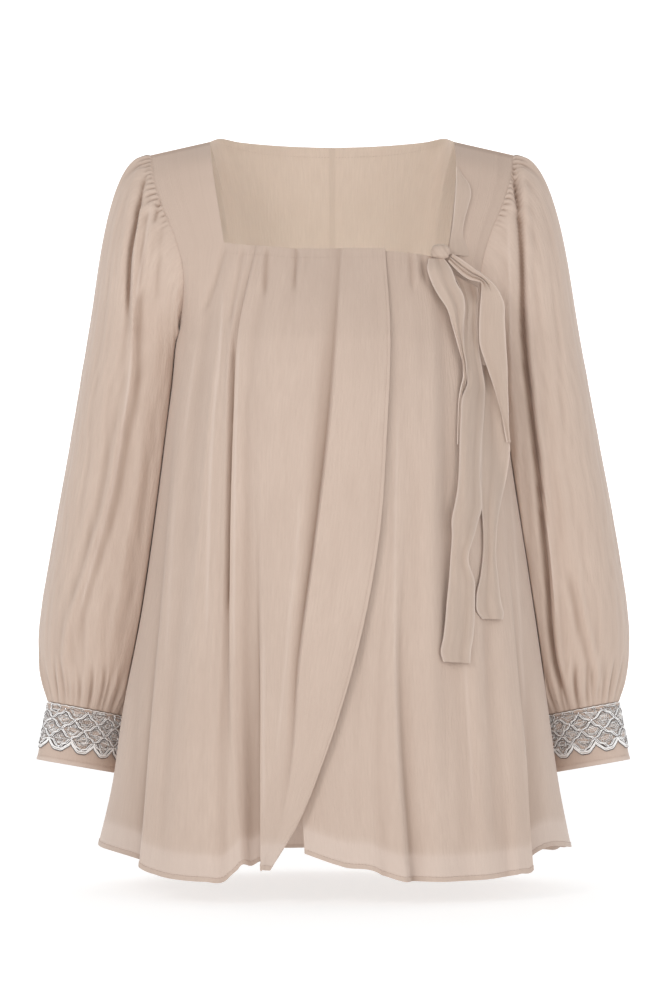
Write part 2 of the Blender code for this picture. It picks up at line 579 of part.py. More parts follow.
def back_panel(side):
    """Grid of one half of the back, from its centre seam to its side seam."""
    scale, drift = BACK_VARIATION[side]
    before, share = fold_columns([line[2] for line in BACK_LINES])
    soft = ease(share)

    def across(values, blend):
        values = np.asarray(values, dtype=float)
        return values[before] * (1 - blend) + values[before + 1] * blend

    sway = drift * np.sin(math.pi * column(BACK_LINES, 1))
    turn_top = across(column(BACK_LINES, 0), share)
    turn_hem = across(column(BACK_LINES, 1) + sway, share)
    side_hem = OVERLAY_LINES[0][3] if side == "right" else UNDER_LINES[-1][3]
    hems = column(BACK_LINES, 3)
    hems[-1] = side_hem
    hem = across(hems, soft)
    lifts = np.array([line[4] for line in BACK_LINES], dtype=float) * scale

    # above the underarm: a curve for each column, from the neck or shoulder seam down
    neck_turn = BACK_NECK[-1][0]
    on_neck = np.minimum(turn_top, neck_turn)
    neck_table = column(BACK_NECK, 0)
    top = np.stack([through(neck_table, column(BACK_NECK, 1), on_neck),
                    through(neck_table, column(BACK_NECK, 2), on_neck),
                    -through(neck_table, column(BACK_NECK, 3), on_neck)], axis=-1)
    seam_share = np.clip((turn_top - neck_turn) / (1 - neck_turn), 0, 1)[:, None]
    tip = np.array([BACK_ARMHOLE[0][1], BACK_ARMHOLE[0][2], -BACK_ARMHOLE[0][0]])
    top = top * (1 - seam_share) + tip * seam_share
    rows = np.arange(BACK_TOP_ROWS + 1) / BACK_TOP_ROWS
    v = rows[:, None]
    knots = np.array(BACK_CENTRE)
    centre = ((1 - v) ** 3 * knots[0] + 3 * (1 - v) ** 2 * v * knots[1]
              + 3 * (1 - v) * v ** 2 * knots[2] + v ** 3 * knots[3])[:, None, :]
    edge, turn = back_armhole(rows)
    edge, turn = edge[:, None, :], turn[:, None]
    phi = turn_top[None, :] * turn
    deep = (np.cos(phi) - np.cos(turn)) / (1 - np.cos(turn))
    sheet = edge + (centre - edge) * deep[..., None]
    sheet[..., 0] = edge[..., 0] * np.sin(phi) / np.sin(turn)
    sheet = sheet + (top - sheet[0]) * ((1 - v) ** 2)[..., None]
    over = ease((turn_top - 0.25) / 0.3) * ease((1 - turn_top) / 0.12)
    sheet[..., 2] += SHOULDER_RISE * over * 6.75 * v * (1 - v) ** 2

    # below it: rings with flutes
    levels = np.arange(1, BACK_SKIRT_ROWS + 1) / BACK_SKIRT_ROWS
    grown = ease(levels)[:, None]
    turn = turn_top * (1 - grown) + turn_hem * grown
    drop = UNDERARM + (hem - UNDERARM) * levels[:, None]
    line_lift = through(BACK_LEVELS, lifts, np.broadcast_to(levels, (len(lifts), len(levels))))
    lift = line_lift[before] * (1 - soft[:, None]) + line_lift[before + 1] * soft[:, None]
    sign = -1.0 if side == "right" else 1.0
    skirt = back_point(sign * turn, drop, lift.T)
    sheet[..., 0] *= sign
    grid = np.concatenate([sheet, skirt])
    grid[:, 0, 0] = sign * SEAM / 2
    grid[:, -1, 1] += SEAM / 2
    seam_columns = turn_top >= neck_turn
    grid[0, seam_columns, 1] += SEAM / 2
    return grid


# ---- sleeves and cuffs ---------------------------------------------------------------------
def ring_basis(row, spread):
    """Centre, half width and half depth of a sleeve ring, on the +X side."""
    outer_x, outer_drop, inner_x, inner_drop, outer_y, inner_y, depth = row
    outer = np.array([outer_x + spread, outer_y, -outer_drop], dtype=float)
    inner = np.array([inner_x + spread, inner_y, -inner_drop], dtype=float)
    wide = (outer - inner) / 2
    flat = unit(np.array([wide[0], wide[1]]))
    deep = np.array([flat[1], -flat[0], 0.0]) * depth
    return (outer + inner) / 2, wide, deep


def ring_point(row, spread, angle, power=1.0):
    """Points of a ring: angle 0 is its outside, 90 degrees its front; a power below 1 draws
    it towards the corners of its box."""
    centre, wide, deep = ring_basis(row, spread)
    cos, sin = np.cos(angle)[:, None], np.sin(angle)[:, None]
    across = np.sign(cos) * np.abs(cos) ** power
    forward = np.sign(sin) * np.abs(sin) ** power
    return centre + across * wide + forward * deep


def sleeve_row(station, side):
    """The ring at a station along the arm (0 below the underarm, 1 the cuff)."""
    stations = column(SLEEVE_RINGS, 0)
    values = [float(through(stations, column(SLEEVE_RINGS, index), station))
              for index in range(1, 8)]
    head, elbow, cuff = SLEEVE_SPREAD[side]
    spread = float(through((0.0, 0.5, 1.0), (head, elbow, cuff), station))
    return values, spread


def along_edge(edge, turned, share):
    """At shares of the length of a panel's armhole edge: where a sleeve starts, a seam's gap
    off the panel, and the panel's outward direction there."""
    points, normals = edge
    off_edge = unit(np.cross(normals, np.gradient(points, axis=0))) * turned
    seam = points + off_edge * ARMHOLE_SEAM + normals * ARMHOLE_SEAM
    steps = np.linalg.norm(np.diff(points, axis=0), axis=1)
    length = np.concatenate(([0.0], np.cumsum(steps)))
    both = np.concatenate([seam, normals], axis=1)
    read = np.stack([np.interp(share * length[-1], length, line) for line in both.T], axis=-1)
    return read[:, :3], unit(read[:, 3:])


def armhole_loop(angle, edges):
    """The armhole, on the +X side: angle 0 at the shoulder tip, 180 degrees underarm."""
    share = np.where(angle <= math.pi, angle, 2 * math.pi - angle) / math.pi
    in_front = (angle <= math.pi)[:, None]
    front_place, front_out = along_edge(edges["front"], 1.0, share)
    back_place, back_out = along_edge(edges["back"], -1.0, share)
    return (np.where(in_front, front_place, back_place), np.where(in_front, front_out, back_out))


def sleeve_lift(side, angle, station, head):
    """Gathers at the head and the cuff, and the long folds between, at one station."""
    degrees = (np.degrees(angle) + 180) % 360 - 180
    crest = np.where(np.arange(len(angle)) % 2 == 0, 1.0, -1.0)
    uneven = 0.75 + 0.25 * np.sin(np.arange(len(angle)) * 2.4)
    height, reach, fade = HEAD_GATHER
    near_top = ease((reach - np.abs(degrees)) / 25.0)
    lift = height * crest * uneven * near_top * ease(head / 0.15) * (1 - ease(head / fade))
    height, starts, full = CUFF_GATHER
    rise = ease((station - starts) / (full - starts))
    lift = lift + height * crest * uneven * rise * (1 - 0.75 * ease((station - full) / 0.05))
    whole = (head + station) / 2
    for angles, width, depth, first, last in SLEEVE_FOLDS[side]:
        middle = float(through(FOLD_PLACES, angles, whole))
        away = (degrees - middle + 180) % 360 - 180
        bump = np.cos(np.clip(away / width, -1, 1) * math.pi / 2) ** 2
        length = ease((whole - first) / 0.15) * ease((last - whole) / 0.12)
        lift = lift + depth * bump * length
    return lift


def clear_of_body(side, points):
    """Push points of a +X sleeve out of the body's side, to the clearance."""
    drop = -points[..., 2]
    rings = column(BODY_RINGS, 0)
    deep = np.where(points[..., 1] > 0, through(rings, column(BODY_RINGS, 4), drop),
                    through(rings, column(BODY_RINGS, 3), drop))
    wide = through(rings, column(BODY_RINGS, 1 if side == "right" else 2), drop)
    ratio = np.clip(points[..., 1] / deep, -1, 1)
    more, begin, end = SIDE_GROWTH
    growth = more * ease((drop - begin) / (end - begin))
    edge = wide * np.sqrt(1 - ratio ** 2) + ARM_CLEARANCE + growth
    pushed = SIDE_SOFTNESS * np.logaddexp(edge / SIDE_SOFTNESS, points[..., 0] / SIDE_SOFTNESS)
    below = ease((drop - UNDERARM + 10.0) / 10.0)
    moved = points.copy()
    moved[..., 0] += (pushed - points[..., 0]) * below
    return moved


def sleeve_grid(side, edges):
    """Grid of a sleeve, on the +X side: rows from the armhole to the cuff."""
    angle = np.arange(SLEEVE_COLUMNS) * 2 * math.pi / SLEEVE_COLUMNS
    cos, sin = np.cos(angle), np.sin(angle)
    start, body_out = armhole_loop(angle, edges)
    leave = unit(np.stack([0.80 + 0.20 * cos, -0.22 * sin, -0.45 + 0.5 * cos], axis=-1))
    leave_length = (HEAD_LEAVE[0] + HEAD_LEAVE[1] * cos)[:, None]
    values, spread = sleeve_row(0.0, side)
    end = ring_point(values, spread, angle, SLEEVE_SQUARENESS)
    arrive = np.array([-0.17, 0.0, 0.98]) * (HEAD_ARRIVE[0] + HEAD_ARRIVE[1] * cos)[:, None]
    rows = []
    for row in range(HEAD_ROWS + 1):
        v = row / HEAD_ROWS
        ring = ((1 - v) ** 3 * start + 3 * (1 - v) ** 2 * v * (start + leave * leave_length)
                + 3 * (1 - v) * v ** 2 * (end + arrive) + v ** 3 * end)
        middle = ring.mean(axis=0)
        out = unit(ring - middle)
        rows.append(ring + out * sleeve_lift(side, angle, 0.0, v)[:, None])
    for station in ARM_ROWS:
        values, spread = sleeve_row(station, side)
        rounding = ease((station - RING_ROUND[0]) / (RING_ROUND[1] - RING_ROUND[0]))
        power = SLEEVE_SQUARENESS + (1 - SLEEVE_SQUARENESS) * rounding
        ring = ring_point(values, spread, angle, power)
        centre, _, _ = ring_basis(values, spread)
        out = unit(ring - centre)
        rows.append(ring + out * sleeve_lift(side, angle, station, 1.0)[:, None])
    grid = np.stack(rows)
    grid[1:-1] = clear_of_body(side, grid[1:-1])
    centre, _, _ = ring_basis(values, spread)
    return grid, body_out, unit(grid[-1] - centre)


def cuff_rows(side):
    top, top_spread = sleeve_row(1.0, side)
    return top, list(CUFF_BOTTOM), top_spread


def cuff_angles(wide, deep, steps):
    """Angles that share an oval out in equal lengths, from its outside round by the front."""
    fine = np.linspace(0.0, 2 * math.pi, 721)
    pace = np.hypot(wide * np.sin(fine), deep * np.cos(fine))
    length = np.concatenate(([0.0], np.cumsum((pace[1:] + pace[:-1]) / 2)))
    return np.interp(np.arange(steps) / steps * length[-1], length, fine)


def cuff_edges(side):
    """The top and bottom edge of a +X cuff, one point for each lace step."""
    top, bottom, spread = cuff_rows(side)
    steps = 2 * CUFF_DIAMONDS
    edges = []
    for row in (top, bottom):
        _, wide, deep = ring_basis(row, spread)
        angle = cuff_angles(np.linalg.norm(wide), np.linalg.norm(deep), steps)
        edges.append(ring_point(row, spread, angle))
    return edges


def cuff_point(side, step, down, out):
    """Points on the flats of a +X cuff: a step is half a diamond, down runs top to bottom."""
    upper, lower = cuff_edges(side)
    steps = len(upper)
    first = np.floor(step + 1e-6).astype(int)
    share = (step - first)[:, None]
    down = down[:, None]

    def place(number):
        number = number % steps
        return upper[number] * (1 - down) + lower[number] * down

    def out_of(number):
        """Out of the cuff along the edge between two flats."""
        ahead, behind = place(number + 1) - place(number), place(number) - place(number - 1)
        along = (lower - upper)[number % steps]
        before, after = unit(np.cross(behind, along)), unit(np.cross(ahead, along))
        return (before + after) / (1 + (before * after).sum(-1, keepdims=True))

    start = place(first) + out_of(first) * out
    end = place(first + 1) + out_of(first + 1) * out
    return start * (1 - share) + end * share


def cuff_grid(side):
    """Grid of a cuff, one flat for each step of the lace that lies on it."""
    upper, lower = cuff_edges(side)
    first = CUFF_SEAM / np.linalg.norm(lower - upper, axis=1).mean()
    return np.stack([upper * (1 - down) + lower * down for down in (first, 0.5, 1.0)])


# ---- making meshes -------------------------------------------------------------------------
def grid_faces(rows, columns, mask=None, closed=False):
    """Triangles over a grid of points; closed joins the last column to the first."""
    faces = []
    across = columns if closed else columns - 1
    for row in range(rows - 1):
        for col in range(across):
            if mask is not None and not mask[row, col]:
                continue
            a = row * columns + col
            b = row * columns + (col + 1) % columns
            c, d = b + columns, a + columns
            faces += [(a, d, c), (a, c, b)]
    return faces


def vertex_normals(points, faces):
    corners = points[faces]
    face_normals = np.cross(corners[:, 1] - corners[:, 0], corners[:, 2] - corners[:, 0])
    normals = np.zeros_like(points)
    for corner in range(3):
        np.add.at(normals, faces[:, corner], face_normals)
    length = np.linalg.norm(normals, axis=1, keepdims=True)
    return normals / np.maximum(length, 1e-12)


def square_to_seam(points, faces, numbers, axis):
    """Directions at a seam's vertices that have no part along the axis across the seam."""
    normals = vertex_normals(points, np.asarray(faces))[numbers]
    normals[:, axis] = 0.0
    return unit(normals)


def wall(points, faces, thickness, seam_rows=()):
    """Give a skin its thickness: an inner skin behind it, and a rim round every edge.

    seam_rows holds pairs of vertex numbers and the direction that they take outwards, so that
    the two pieces of a seam keep their gap right through.
    """
    faces = np.asarray(faces)
    used = np.unique(faces)
    renumber = np.full(len(points), -1)
    renumber[used] = np.arange(len(used))
    points, faces = points[used], renumber[faces]
    normals = vertex_normals(points, faces)
    for numbers, direction in seam_rows:
        normals[renumber[numbers]] = direction
    return between(points, points - normals * thickness, faces)


def between(outer, inner, faces):
    """A closed body between two skins that share their faces, with a rim round every edge."""
    count = len(outer)
    edges = set()
    for a, b, c in faces:
        edges |= {(a, b), (b, c), (c, a)}
    rim = []
    for a, b in sorted(edges):
        if (b, a) not in edges:
            rim += [(b, a, a + count), (b, a + count, b + count)]
    inside = faces[:, ::-1] + count
    return np.concatenate([outer, inner]), np.concatenate([faces, inside, np.array(rim)])


def add_piece(name, points, faces, material):
    """A named object from points in millimetres, faces pointing out."""
    mesh = bpy.data.meshes.new(name)
    mesh.from_pydata((points * MM).tolist(), [], np.asarray(faces).tolist())
    mesh.validate()
    mesh.shade_smooth()
    mesh.set_sharp_from_angle(angle=math.radians(55))
    mesh.materials.append(material)
    piece = bpy.data.objects.new(name, mesh)
    bpy.context.scene.collection.objects.link(piece)
    return piece


def new_material(name, colour, roughness, metallic=0.0):
    material = bpy.data.materials.new(name)
    material.use_nodes = True
    shader = material.node_tree.nodes["Principled BSDF"]
    shader.inputs["Base Color"].default_value = (*colour, 1.0)
    shader.inputs["Roughness"].default_value = roughness
    shader.inputs["Metallic"].default_value = metallic
    return material


def mirrored(points, side):
    """A +X piece brought to its own side of the body."""
    if side == "right":
        points = points * np.array([-1.0, 1.0, 1.0])
    return points


# ---- the pieces ----------------------------------------------------------------------------
def build_front(name, lines, side, material):
    grid, mask = front_panel(lines, side)
    rows, columns = grid.shape[:2]
    faces = grid_faces(rows, columns, mask)
    shoulder = np.nonzero(mask[0])[0]
    shoulder = np.unique(np.concatenate([shoulder, shoulder + 1]))
    points = grid.reshape(-1, 3)
    edge = 0 if side == "right" else columns - 1
    side_seam = np.arange(STRAP_ROWS, rows) * columns + edge
    side_seam = side_seam[points[side_seam, 2] < SEAM - UNDERARM]
    seams = [(shoulder, SHOULDER_OUT),
             (side_seam, square_to_seam(points, faces, side_seam, 1))]
    armhole = np.arange(STRAP_ROWS + UNDERARM_ROW + 1) * columns + edge
    normals = vertex_normals(points, np.array(faces))
    skins, faces = wall(points, faces, CLOTH, seams)
    add_piece(name, skins, faces, material)
    return mirrored(points[armhole], side), mirrored(normals[armhole], side)


def build_back(side, material):
    grid = back_panel(side)
    rows, columns = grid.shape[:2]
    faces = np.array(grid_faces(rows, columns))
    if side == "left":
        faces = faces[:, ::-1]
    turn_top = column(BACK_LINES, 0)
    before, share = fold_columns([line[2] for line in BACK_LINES])
    turns = turn_top[before] * (1 - share) + turn_top[before + 1] * share
    shoulder = np.nonzero(turns >= BACK_NECK[-1][0])[0]
    centre = np.arange(rows) * columns
    side_seam = np.arange(BACK_TOP_ROWS, rows) * columns + columns - 1
    points = grid.reshape(-1, 3)
    seams = [(centre, square_to_seam(points, faces, centre, 0)), (shoulder, SHOULDER_OUT),
             (side_seam, square_to_seam(points, faces, side_seam, 1))]
    armhole = np.arange(BACK_TOP_ROWS + 1) * columns + columns - 1
    normals = vertex_normals(points, faces)
    skins, faces = wall(points, faces, CLOTH, seams)
    add_piece("back_" + side, skins, faces, material)
    return mirrored(points[armhole], side), mirrored(normals[armhole], side)


def build_sleeve(side, edges, material):
    grid, body_out, cuff_out = sleeve_grid(side, edges)
    rows, columns = grid.shape[:2]
    faces = np.array(grid_faces(rows, columns, closed=True))[:, ::-1]
    points = grid.reshape(-1, 3)
    head = np.arange(columns)
    own_out = vertex_normals(points, faces)[head]
    underarm = 1 - np.abs(head / columns * 2 - 1)
    own_share = ease((underarm - 0.70) / 0.15)[:, None]
    out = unit(body_out * (1 - own_share) + own_out * own_share)
    foot = head + (rows - 1) * columns
    points, faces = wall(points, faces, CLOTH, [(head, out), (foot, cuff_out)])
    if side == "right":
        faces = faces[:, ::-1]
    add_piece("sleeve_" + side, mirrored(points, side), faces, material)


def build_cuff(side, material):
    grid = cuff_grid(side)
    rows, columns = grid.shape[:2]
    faces = np.array(grid_faces(rows, columns, closed=True))
    if side == "left":
        faces = faces[:, ::-1]
    points, faces = wall(mirrored(grid.reshape(-1, 3), side), faces, CLOTH)
    add_piece("cuff_" + side, points, faces, material)


def lace_skin():
    """One half of a cuff's lace, flat: places (steps round, share down) and triangles.

    A step is half a diamond.  Every diamond is a frame of four bars round a hole; the halved
    diamonds under the top edge are frames of three.
    """
    places = []
    numbers = {}
    faces = []

    def vertex(step, down):
        key = (round(step, 4), round(down, 5))
        if key not in numbers:
            numbers[key] = len(places)
            places.append((step, down))
        return numbers[key]

    def frame(corners):
        flat = np.array([(step * LACE_STEP, down * CUFF_HEIGHT) for step, down in corners])
        sides = np.roll(flat, -1, axis=0) - flat
        inward = unit(np.stack([-sides[:, 1], sides[:, 0]], axis=-1))
        hole = []
        for number in range(len(corners)):
            before, after = inward[number - 1], inward[number]
            hole.append(flat[number] + (before + after) * LACE_BAR / (1 + before @ after))
        rim = [vertex(*corner) for corner in corners]
        inner = [vertex(x / LACE_STEP, y / CUFF_HEIGHT) for x, y in hole]
        for number in range(len(corners)):
            after = (number + 1) % len(corners)
            faces.append((rim[number], rim[after], inner[after]))
            faces.append((rim[number], inner[after], inner[number]))

    rows = LACE_NODE_ROWS
    for centre_row in (1, 2, 3):
        start = 0 if centre_row % 2 == 1 else 1
        low = rows[centre_row + 1] if centre_row < 3 else LACE_TIP
        for step in range(start, CUFF_DIAMONDS + 1, 2):
            left, right = max(step - 1, 0), min(step + 1, CUFF_DIAMONDS)
            middle = rows[centre_row]
            if left == step:
                frame([(step, rows[centre_row - 1]), (right, middle), (step, low)])
            elif right == step:
                frame([(left, middle), (step, rows[centre_row - 1]), (step, low)])
            else:
                frame([(left, middle), (step, rows[centre_row - 1]), (right, middle),
                       (step, low)])
    for step in range(1, CUFF_DIAMONDS, 2):
        frame([(step - 1, rows[0]), (step - 1, LACE_TOP), (step, LACE_TOP),
               (step + 1, LACE_TOP), (step + 1, rows[0]), (step, rows[1])])
    return places, faces


def build_lace(side, half, material):
    places, faces = lace_skin()
    step = np.array([place[0] for place in places], dtype=float)
    gap = LACE_SIDE_GAP / LACE_STEP
    step = np.clip(step, gap, CUFF_DIAMONDS - gap)
    if half == "back":
        step = step + CUFF_DIAMONDS
    down = np.array([place[1] for place in places])
    outer = mirrored(cuff_point(side, step, down, LACE_STAND + LACE_THICKNESS), side)
    inner = mirrored(cuff_point(side, step, down, LACE_STAND), side)
    faces = np.array(faces)
    if side == "right":
        faces = faces[:, ::-1]
    points, faces = between(outer, inner, faces)
    add_piece("lace_" + side + "_" + half, points, faces, material)


def in_front(x, drop, stand):
    """Points straight in front of the left front, kept forward where its side turns away."""
    round_ = front_turn(x, drop)
    plain = front_point(round_, drop, 0.0)
    raised = front_point(round_, drop, 1.0)
    slope = np.maximum(plain[..., 1] - raised[..., 1], FLATTEST)
    depth = -plain[..., 1] + np.maximum(lift_under(x, drop), 0.0) / slope
    depth = HANG_SOFTNESS * np.logaddexp(depth / HANG_SOFTNESS, HANG_DEPTH / HANG_SOFTNESS)
    return np.stack([x, -depth - stand / slope, -drop], axis=-1)


def strip_grid(rows):
    """A ribbon between two edges, standing off the left front."""
    share = np.linspace(0, 1, STRIP_COLUMNS + 1)[None, :]
    table = np.array(rows, dtype=float)
    x = table[:, 0:1] * (1 - share) + table[:, 2:3] * share
    drop = table[:, 1:2] * (1 - share) + table[:, 3:4] * share
    stand = table[:, 4:5] * (1 - share) + table[:, 5:6] * share
    width = np.hypot(table[:, 2] - table[:, 0], table[:, 3] - table[:, 1])[:, None]
    crown = STRIP_CROWN * np.sin(share * math.pi) * np.clip(width / 20, 0, 1)
    points = in_front(x.ravel(), drop.ravel(), (stand + crown).ravel())
    return points.reshape(*x.shape, 3)


def build_strip(name, rows, material):
    grid = strip_grid(rows)
    faces = np.array(grid_faces(*grid.shape[:2]))
    points, faces = wall(grid.reshape(-1, 3), faces, RIBBON)
    add_piece(name, points, faces, material)


def build_neck_tie(material):
    """The strip of the tie that lies along the neck edge, from the shoulder to the knot."""
    body, _ = front_panel(UNDER_LINES, "left")
    names = [line[0] for line in UNDER_LINES]
    corner = sum(line[1] for line in UNDER_LINES[:names.index("corner")])
    foot = body[STRAP_ROWS, corner:]
    neck_x, arm_x = foot[0, 0], foot[-1, 0]
    shares = (foot[:, 0] - neck_x) / (arm_x - neck_x)
    grid = []
    for along, inner, outer, stand in NECK_TIE:
        across = np.linspace(inner, outer, STRIP_COLUMNS + 1)
        feet = np.stack([np.interp(across, shares, foot[:, axis]) for axis in range(3)], axis=-1)
        ahead = np.full(len(across), along)
        here = strap_point("left", ahead, across, feet)
        below = strap_point("left", ahead + 0.02, across, feet)
        beside = strap_point("left", ahead, across + 0.02, feet)
        out = unit(np.cross(below - here, beside - here))
        grid.append(here + out * stand)
    grid = np.stack(grid)
    faces = np.array(grid_faces(*grid.shape[:2]))
    points, faces = wall(grid.reshape(-1, 3), faces, RIBBON)
    add_piece("tie_strap", points, faces, material)


def build_knot(material):
    """A soft squarish lump where the tie crosses itself."""
    x, drop, half_width, half_height, half_depth = KNOT
    centre = in_front(np.array([x]), np.array([drop]), np.array([KNOT_STAND]))[0]
    around, up = 16, 8
    points = [(0, 0, half_height)]
    power = 2 / KNOT_SQUARENESS

    def soft(value):
        return np.sign(value) * np.abs(value) ** power

    for level in range(1, up):
        lat = math.pi / 2 - math.pi * level / up
        for step in range(around):
            lon = 2 * math.pi * step / around
            points.append((half_width * soft(math.cos(lat)) * soft(math.cos(lon)),
                           half_depth * soft(math.cos(lat)) * soft(math.sin(lon)),
                           half_height * soft(math.sin(lat))))
    points.append((0, 0, -half_height))
    last = len(points) - 1
    faces = []
    for step in range(around):
        after = (step + 1) % around
        faces.append((0, 1 + step, 1 + after))
        faces.append((last, last - around + after, last - around + step))
        for level in range(up - 2):
            a = 1 + level * around + step
            b = 1 + level * around + after
            faces += [(a, a + around, b + around), (a, b + around, b)]
    add_piece("tie_knot", np.array(points) + centre, faces, material)


def build():
    for old in list(bpy.data.objects):
        bpy.data.objects.remove(old, do_unlink=True)
    chiffon = new_material("chiffon", CLOTH_COLOUR, 0.85)
    cuff_cloth = new_material("cuff_cloth", CLOTH_COLOUR, 0.8)
    tie_cloth = new_material("tie_cloth", TIE_COLOUR, 0.8)
    silver_lace = new_material("silver_lace", LACE_COLOUR, 0.35, 0.7)
    fronts = {"right": build_front("front_right", OVERLAY_LINES, "right", chiffon),
              "left": build_front("front_left", UNDER_LINES, "left", chiffon)}
    for side in ("right", "left"):
        edges = {"front": fronts[side], "back": build_back(side, chiffon)}
        build_sleeve(side, edges, chiffon)
        build_cuff(side, cuff_cloth)
        for half in ("front", "back"):
            build_lace(side, half, silver_lace)
    for name, rows in BOW_STRIPS.items():
        build_strip(name, rows, tie_cloth)
    build_neck_tie(tie_cloth)
    build_knot(tie_cloth)


build()
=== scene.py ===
"""The looks of a tie-neck blouse in crinkled chiffon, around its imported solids.

Each cut piece is a thin closed shell on the form of its solid, with finer folds, gathers,
hems and stitches.  The tables are in millimetres: a "drop" is the distance down from the
shoulder line, a "lift" is how far cloth stands out of the plain body, the front faces -Y and
+X is the wearer's left.
"""
import logging
import math
from dataclasses import dataclass, field
from enum import Enum

import bpy
import numpy as np
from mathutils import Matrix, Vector


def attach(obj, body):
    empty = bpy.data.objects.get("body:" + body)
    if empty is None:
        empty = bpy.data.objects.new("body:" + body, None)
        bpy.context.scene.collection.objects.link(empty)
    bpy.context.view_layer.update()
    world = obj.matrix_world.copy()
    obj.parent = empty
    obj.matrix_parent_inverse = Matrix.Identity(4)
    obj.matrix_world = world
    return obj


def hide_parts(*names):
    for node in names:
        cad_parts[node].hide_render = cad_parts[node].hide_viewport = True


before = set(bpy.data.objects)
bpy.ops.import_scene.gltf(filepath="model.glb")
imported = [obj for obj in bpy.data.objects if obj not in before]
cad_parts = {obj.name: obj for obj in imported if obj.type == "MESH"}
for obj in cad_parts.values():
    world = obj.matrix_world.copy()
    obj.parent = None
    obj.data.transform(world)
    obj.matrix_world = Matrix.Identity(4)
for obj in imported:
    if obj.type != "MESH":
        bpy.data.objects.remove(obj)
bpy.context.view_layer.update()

log = logging.getLogger("blouse")

Array = np.ndarray
Pair = tuple[Array, Array]    # points and faces, or two other arrays
Triple = tuple[float, float, float]
Socket = bpy.types.NodeSocket

MM = 0.001
SHELL = 0.6                   # thickness of a shown piece of cloth, millimetres
SHARP = math.radians(50)      # edges that turn more than this are drawn sharp
HEM_ROWS = 4                  # rows of points in the turned edge of a hem
HEM_SHADE = 0.10              # how much darker that edge is
HEM_DEPTH = 4.6               # how far it reaches up, millimetres
PANEL = 610.0                 # from a front's neck edge to its hem, millimetres
SKIRT = 530.0                 # from the underarm to the hem
BACK_HALF = 300.0             # from the centre back to a side seam


class Side(Enum):
    """A side of the wearer's body, and the sign of its X."""

    RIGHT = -1
    LEFT = 1

    @property
    def flip(self) -> Array:
        """What takes a point on the +X side to this side, and back."""
        return np.array([self.value, 1.0, 1.0])

    def outward(self, faces: Array) -> Array:
        """Faces that are right for the right side, turned to face outwards on this one."""
        return faces[:, ::-1] if self is Side.LEFT else faces


# ---- curves and grids
def column(table: tuple, index: int) -> Array:
    """One column of a table, as an array."""
    return np.array([row[index] for row in table], dtype=float)


def through(knots: Array, values: Array, at: Array) -> Array:
    """A cubic curve through a table's values, its slope at a knot the mean of its sides'.

    Args:
        knots: rising places where values are known.
        values: the values there, along the last axis.
        at: where to read the curve.

    Returns:
        The curve's values, held level past the first and last knot.
    """
    knots = np.asarray(knots, dtype=float)
    values = np.asarray(values, dtype=float)
    slopes = np.gradient(values, knots, axis=-1)
    at = np.clip(at, knots[0], knots[-1])
    cell = np.clip(np.searchsorted(knots, at, side="right") - 1, 0, len(knots) - 2)
    width = knots[cell + 1] - knots[cell]
    u = (at - knots[cell]) / width

    def pick(array: Array, index: Array) -> Array:
        """Values at knots, from one row or from a row for each line."""
        if array.ndim == 1:
            return array[index]
        return np.take_along_axis(array, index, axis=-1)

    start, end = pick(values, cell), pick(values, cell + 1)
    leave, arrive = pick(slopes, cell) * width, pick(slopes, cell + 1) * width
    return ((2 * u ** 3 - 3 * u ** 2 + 1) * start + (u ** 3 - 2 * u ** 2 + u) * leave
            + (3 * u ** 2 - 2 * u ** 3) * end + (u ** 3 - u ** 2) * arrive)


def curve(table: tuple, index: int, at: Array) -> Array:
    """A column of a table as a curve over its first one."""
    return through(column(table, 0), column(table, index), at)


def ease(u: Array) -> Array:
    """0 to 1 with a level start and finish."""
    u = np.clip(u, 0.0, 1.0)
    return u * u * (3.0 - 2.0 * u)


def blend(start: Array, end: Array, share: Array) -> Array:
    """A share of the way from start to end."""
    return start * (1 - share) + end * share


def bezier(start: Array, leave: Array, arrive: Array, end: Array, v: Array) -> Array:
    """A point at v of the cubic curve with these four controls."""
    return ((1 - v) ** 3 * start + 3 * (1 - v) ** 2 * v * leave
            + 3 * (1 - v) * v ** 2 * arrive + v ** 3 * end)


def run_of(points: Array) -> Array:
    """How far along a line of points each of them lies."""
    return np.concatenate(([0.0], np.cumsum(np.linalg.norm(np.diff(points, axis=0), axis=1))))


def unit(vectors: Array) -> Array:
    """Vectors brought to length one."""
    length = np.linalg.norm(vectors, axis=-1, keepdims=True)
    return vectors / np.maximum(length, 1e-9)


def by_length(points: Array, share: Array) -> Array:
    """A smooth curve through rows of points, and what else they hold, at shares of its length."""
    length = run_of(points[:, :3])
    at = np.asarray(share, dtype=float) * length[-1]
    return np.stack([through(length, values, at) for values in points.T], axis=-1)


def grid_quads(rows: int, columns: int, closed: bool = False, mask: Array | None = None) -> Array:
    """Faces of four corners over a grid of points.

    Args:
        rows: rows of points.
        columns: points in a row.
        closed: joins the last column to the first.
        mask: which cells are cloth.

    Returns:
        An array of four point numbers a face.
    """
    row, col = np.meshgrid(np.arange(rows - 1), np.arange(columns if closed else columns - 1),
                           indexing="ij")
    if mask is not None:
        row, col = row[mask], col[mask]
    a = row * columns + col
    b = row * columns + (col + 1) % columns
    return np.stack([a, a + columns, b + columns, b], axis=-1).reshape(-1, 4)


def spread_columns(cells: list[int]) -> Pair:
    """Columns of a grid, spread over the gaps between the lines that a panel hangs in.

    Args:
        cells: how many columns each gap gets.

    Returns:
        The number of the line before each column, and the share of the way to the next.
    """
    share = np.concatenate([np.arange(count) / count for count in cells])
    before = np.repeat(np.arange(len(cells)), cells)
    return np.append(before, len(cells) - 1), np.append(share, 1.0)


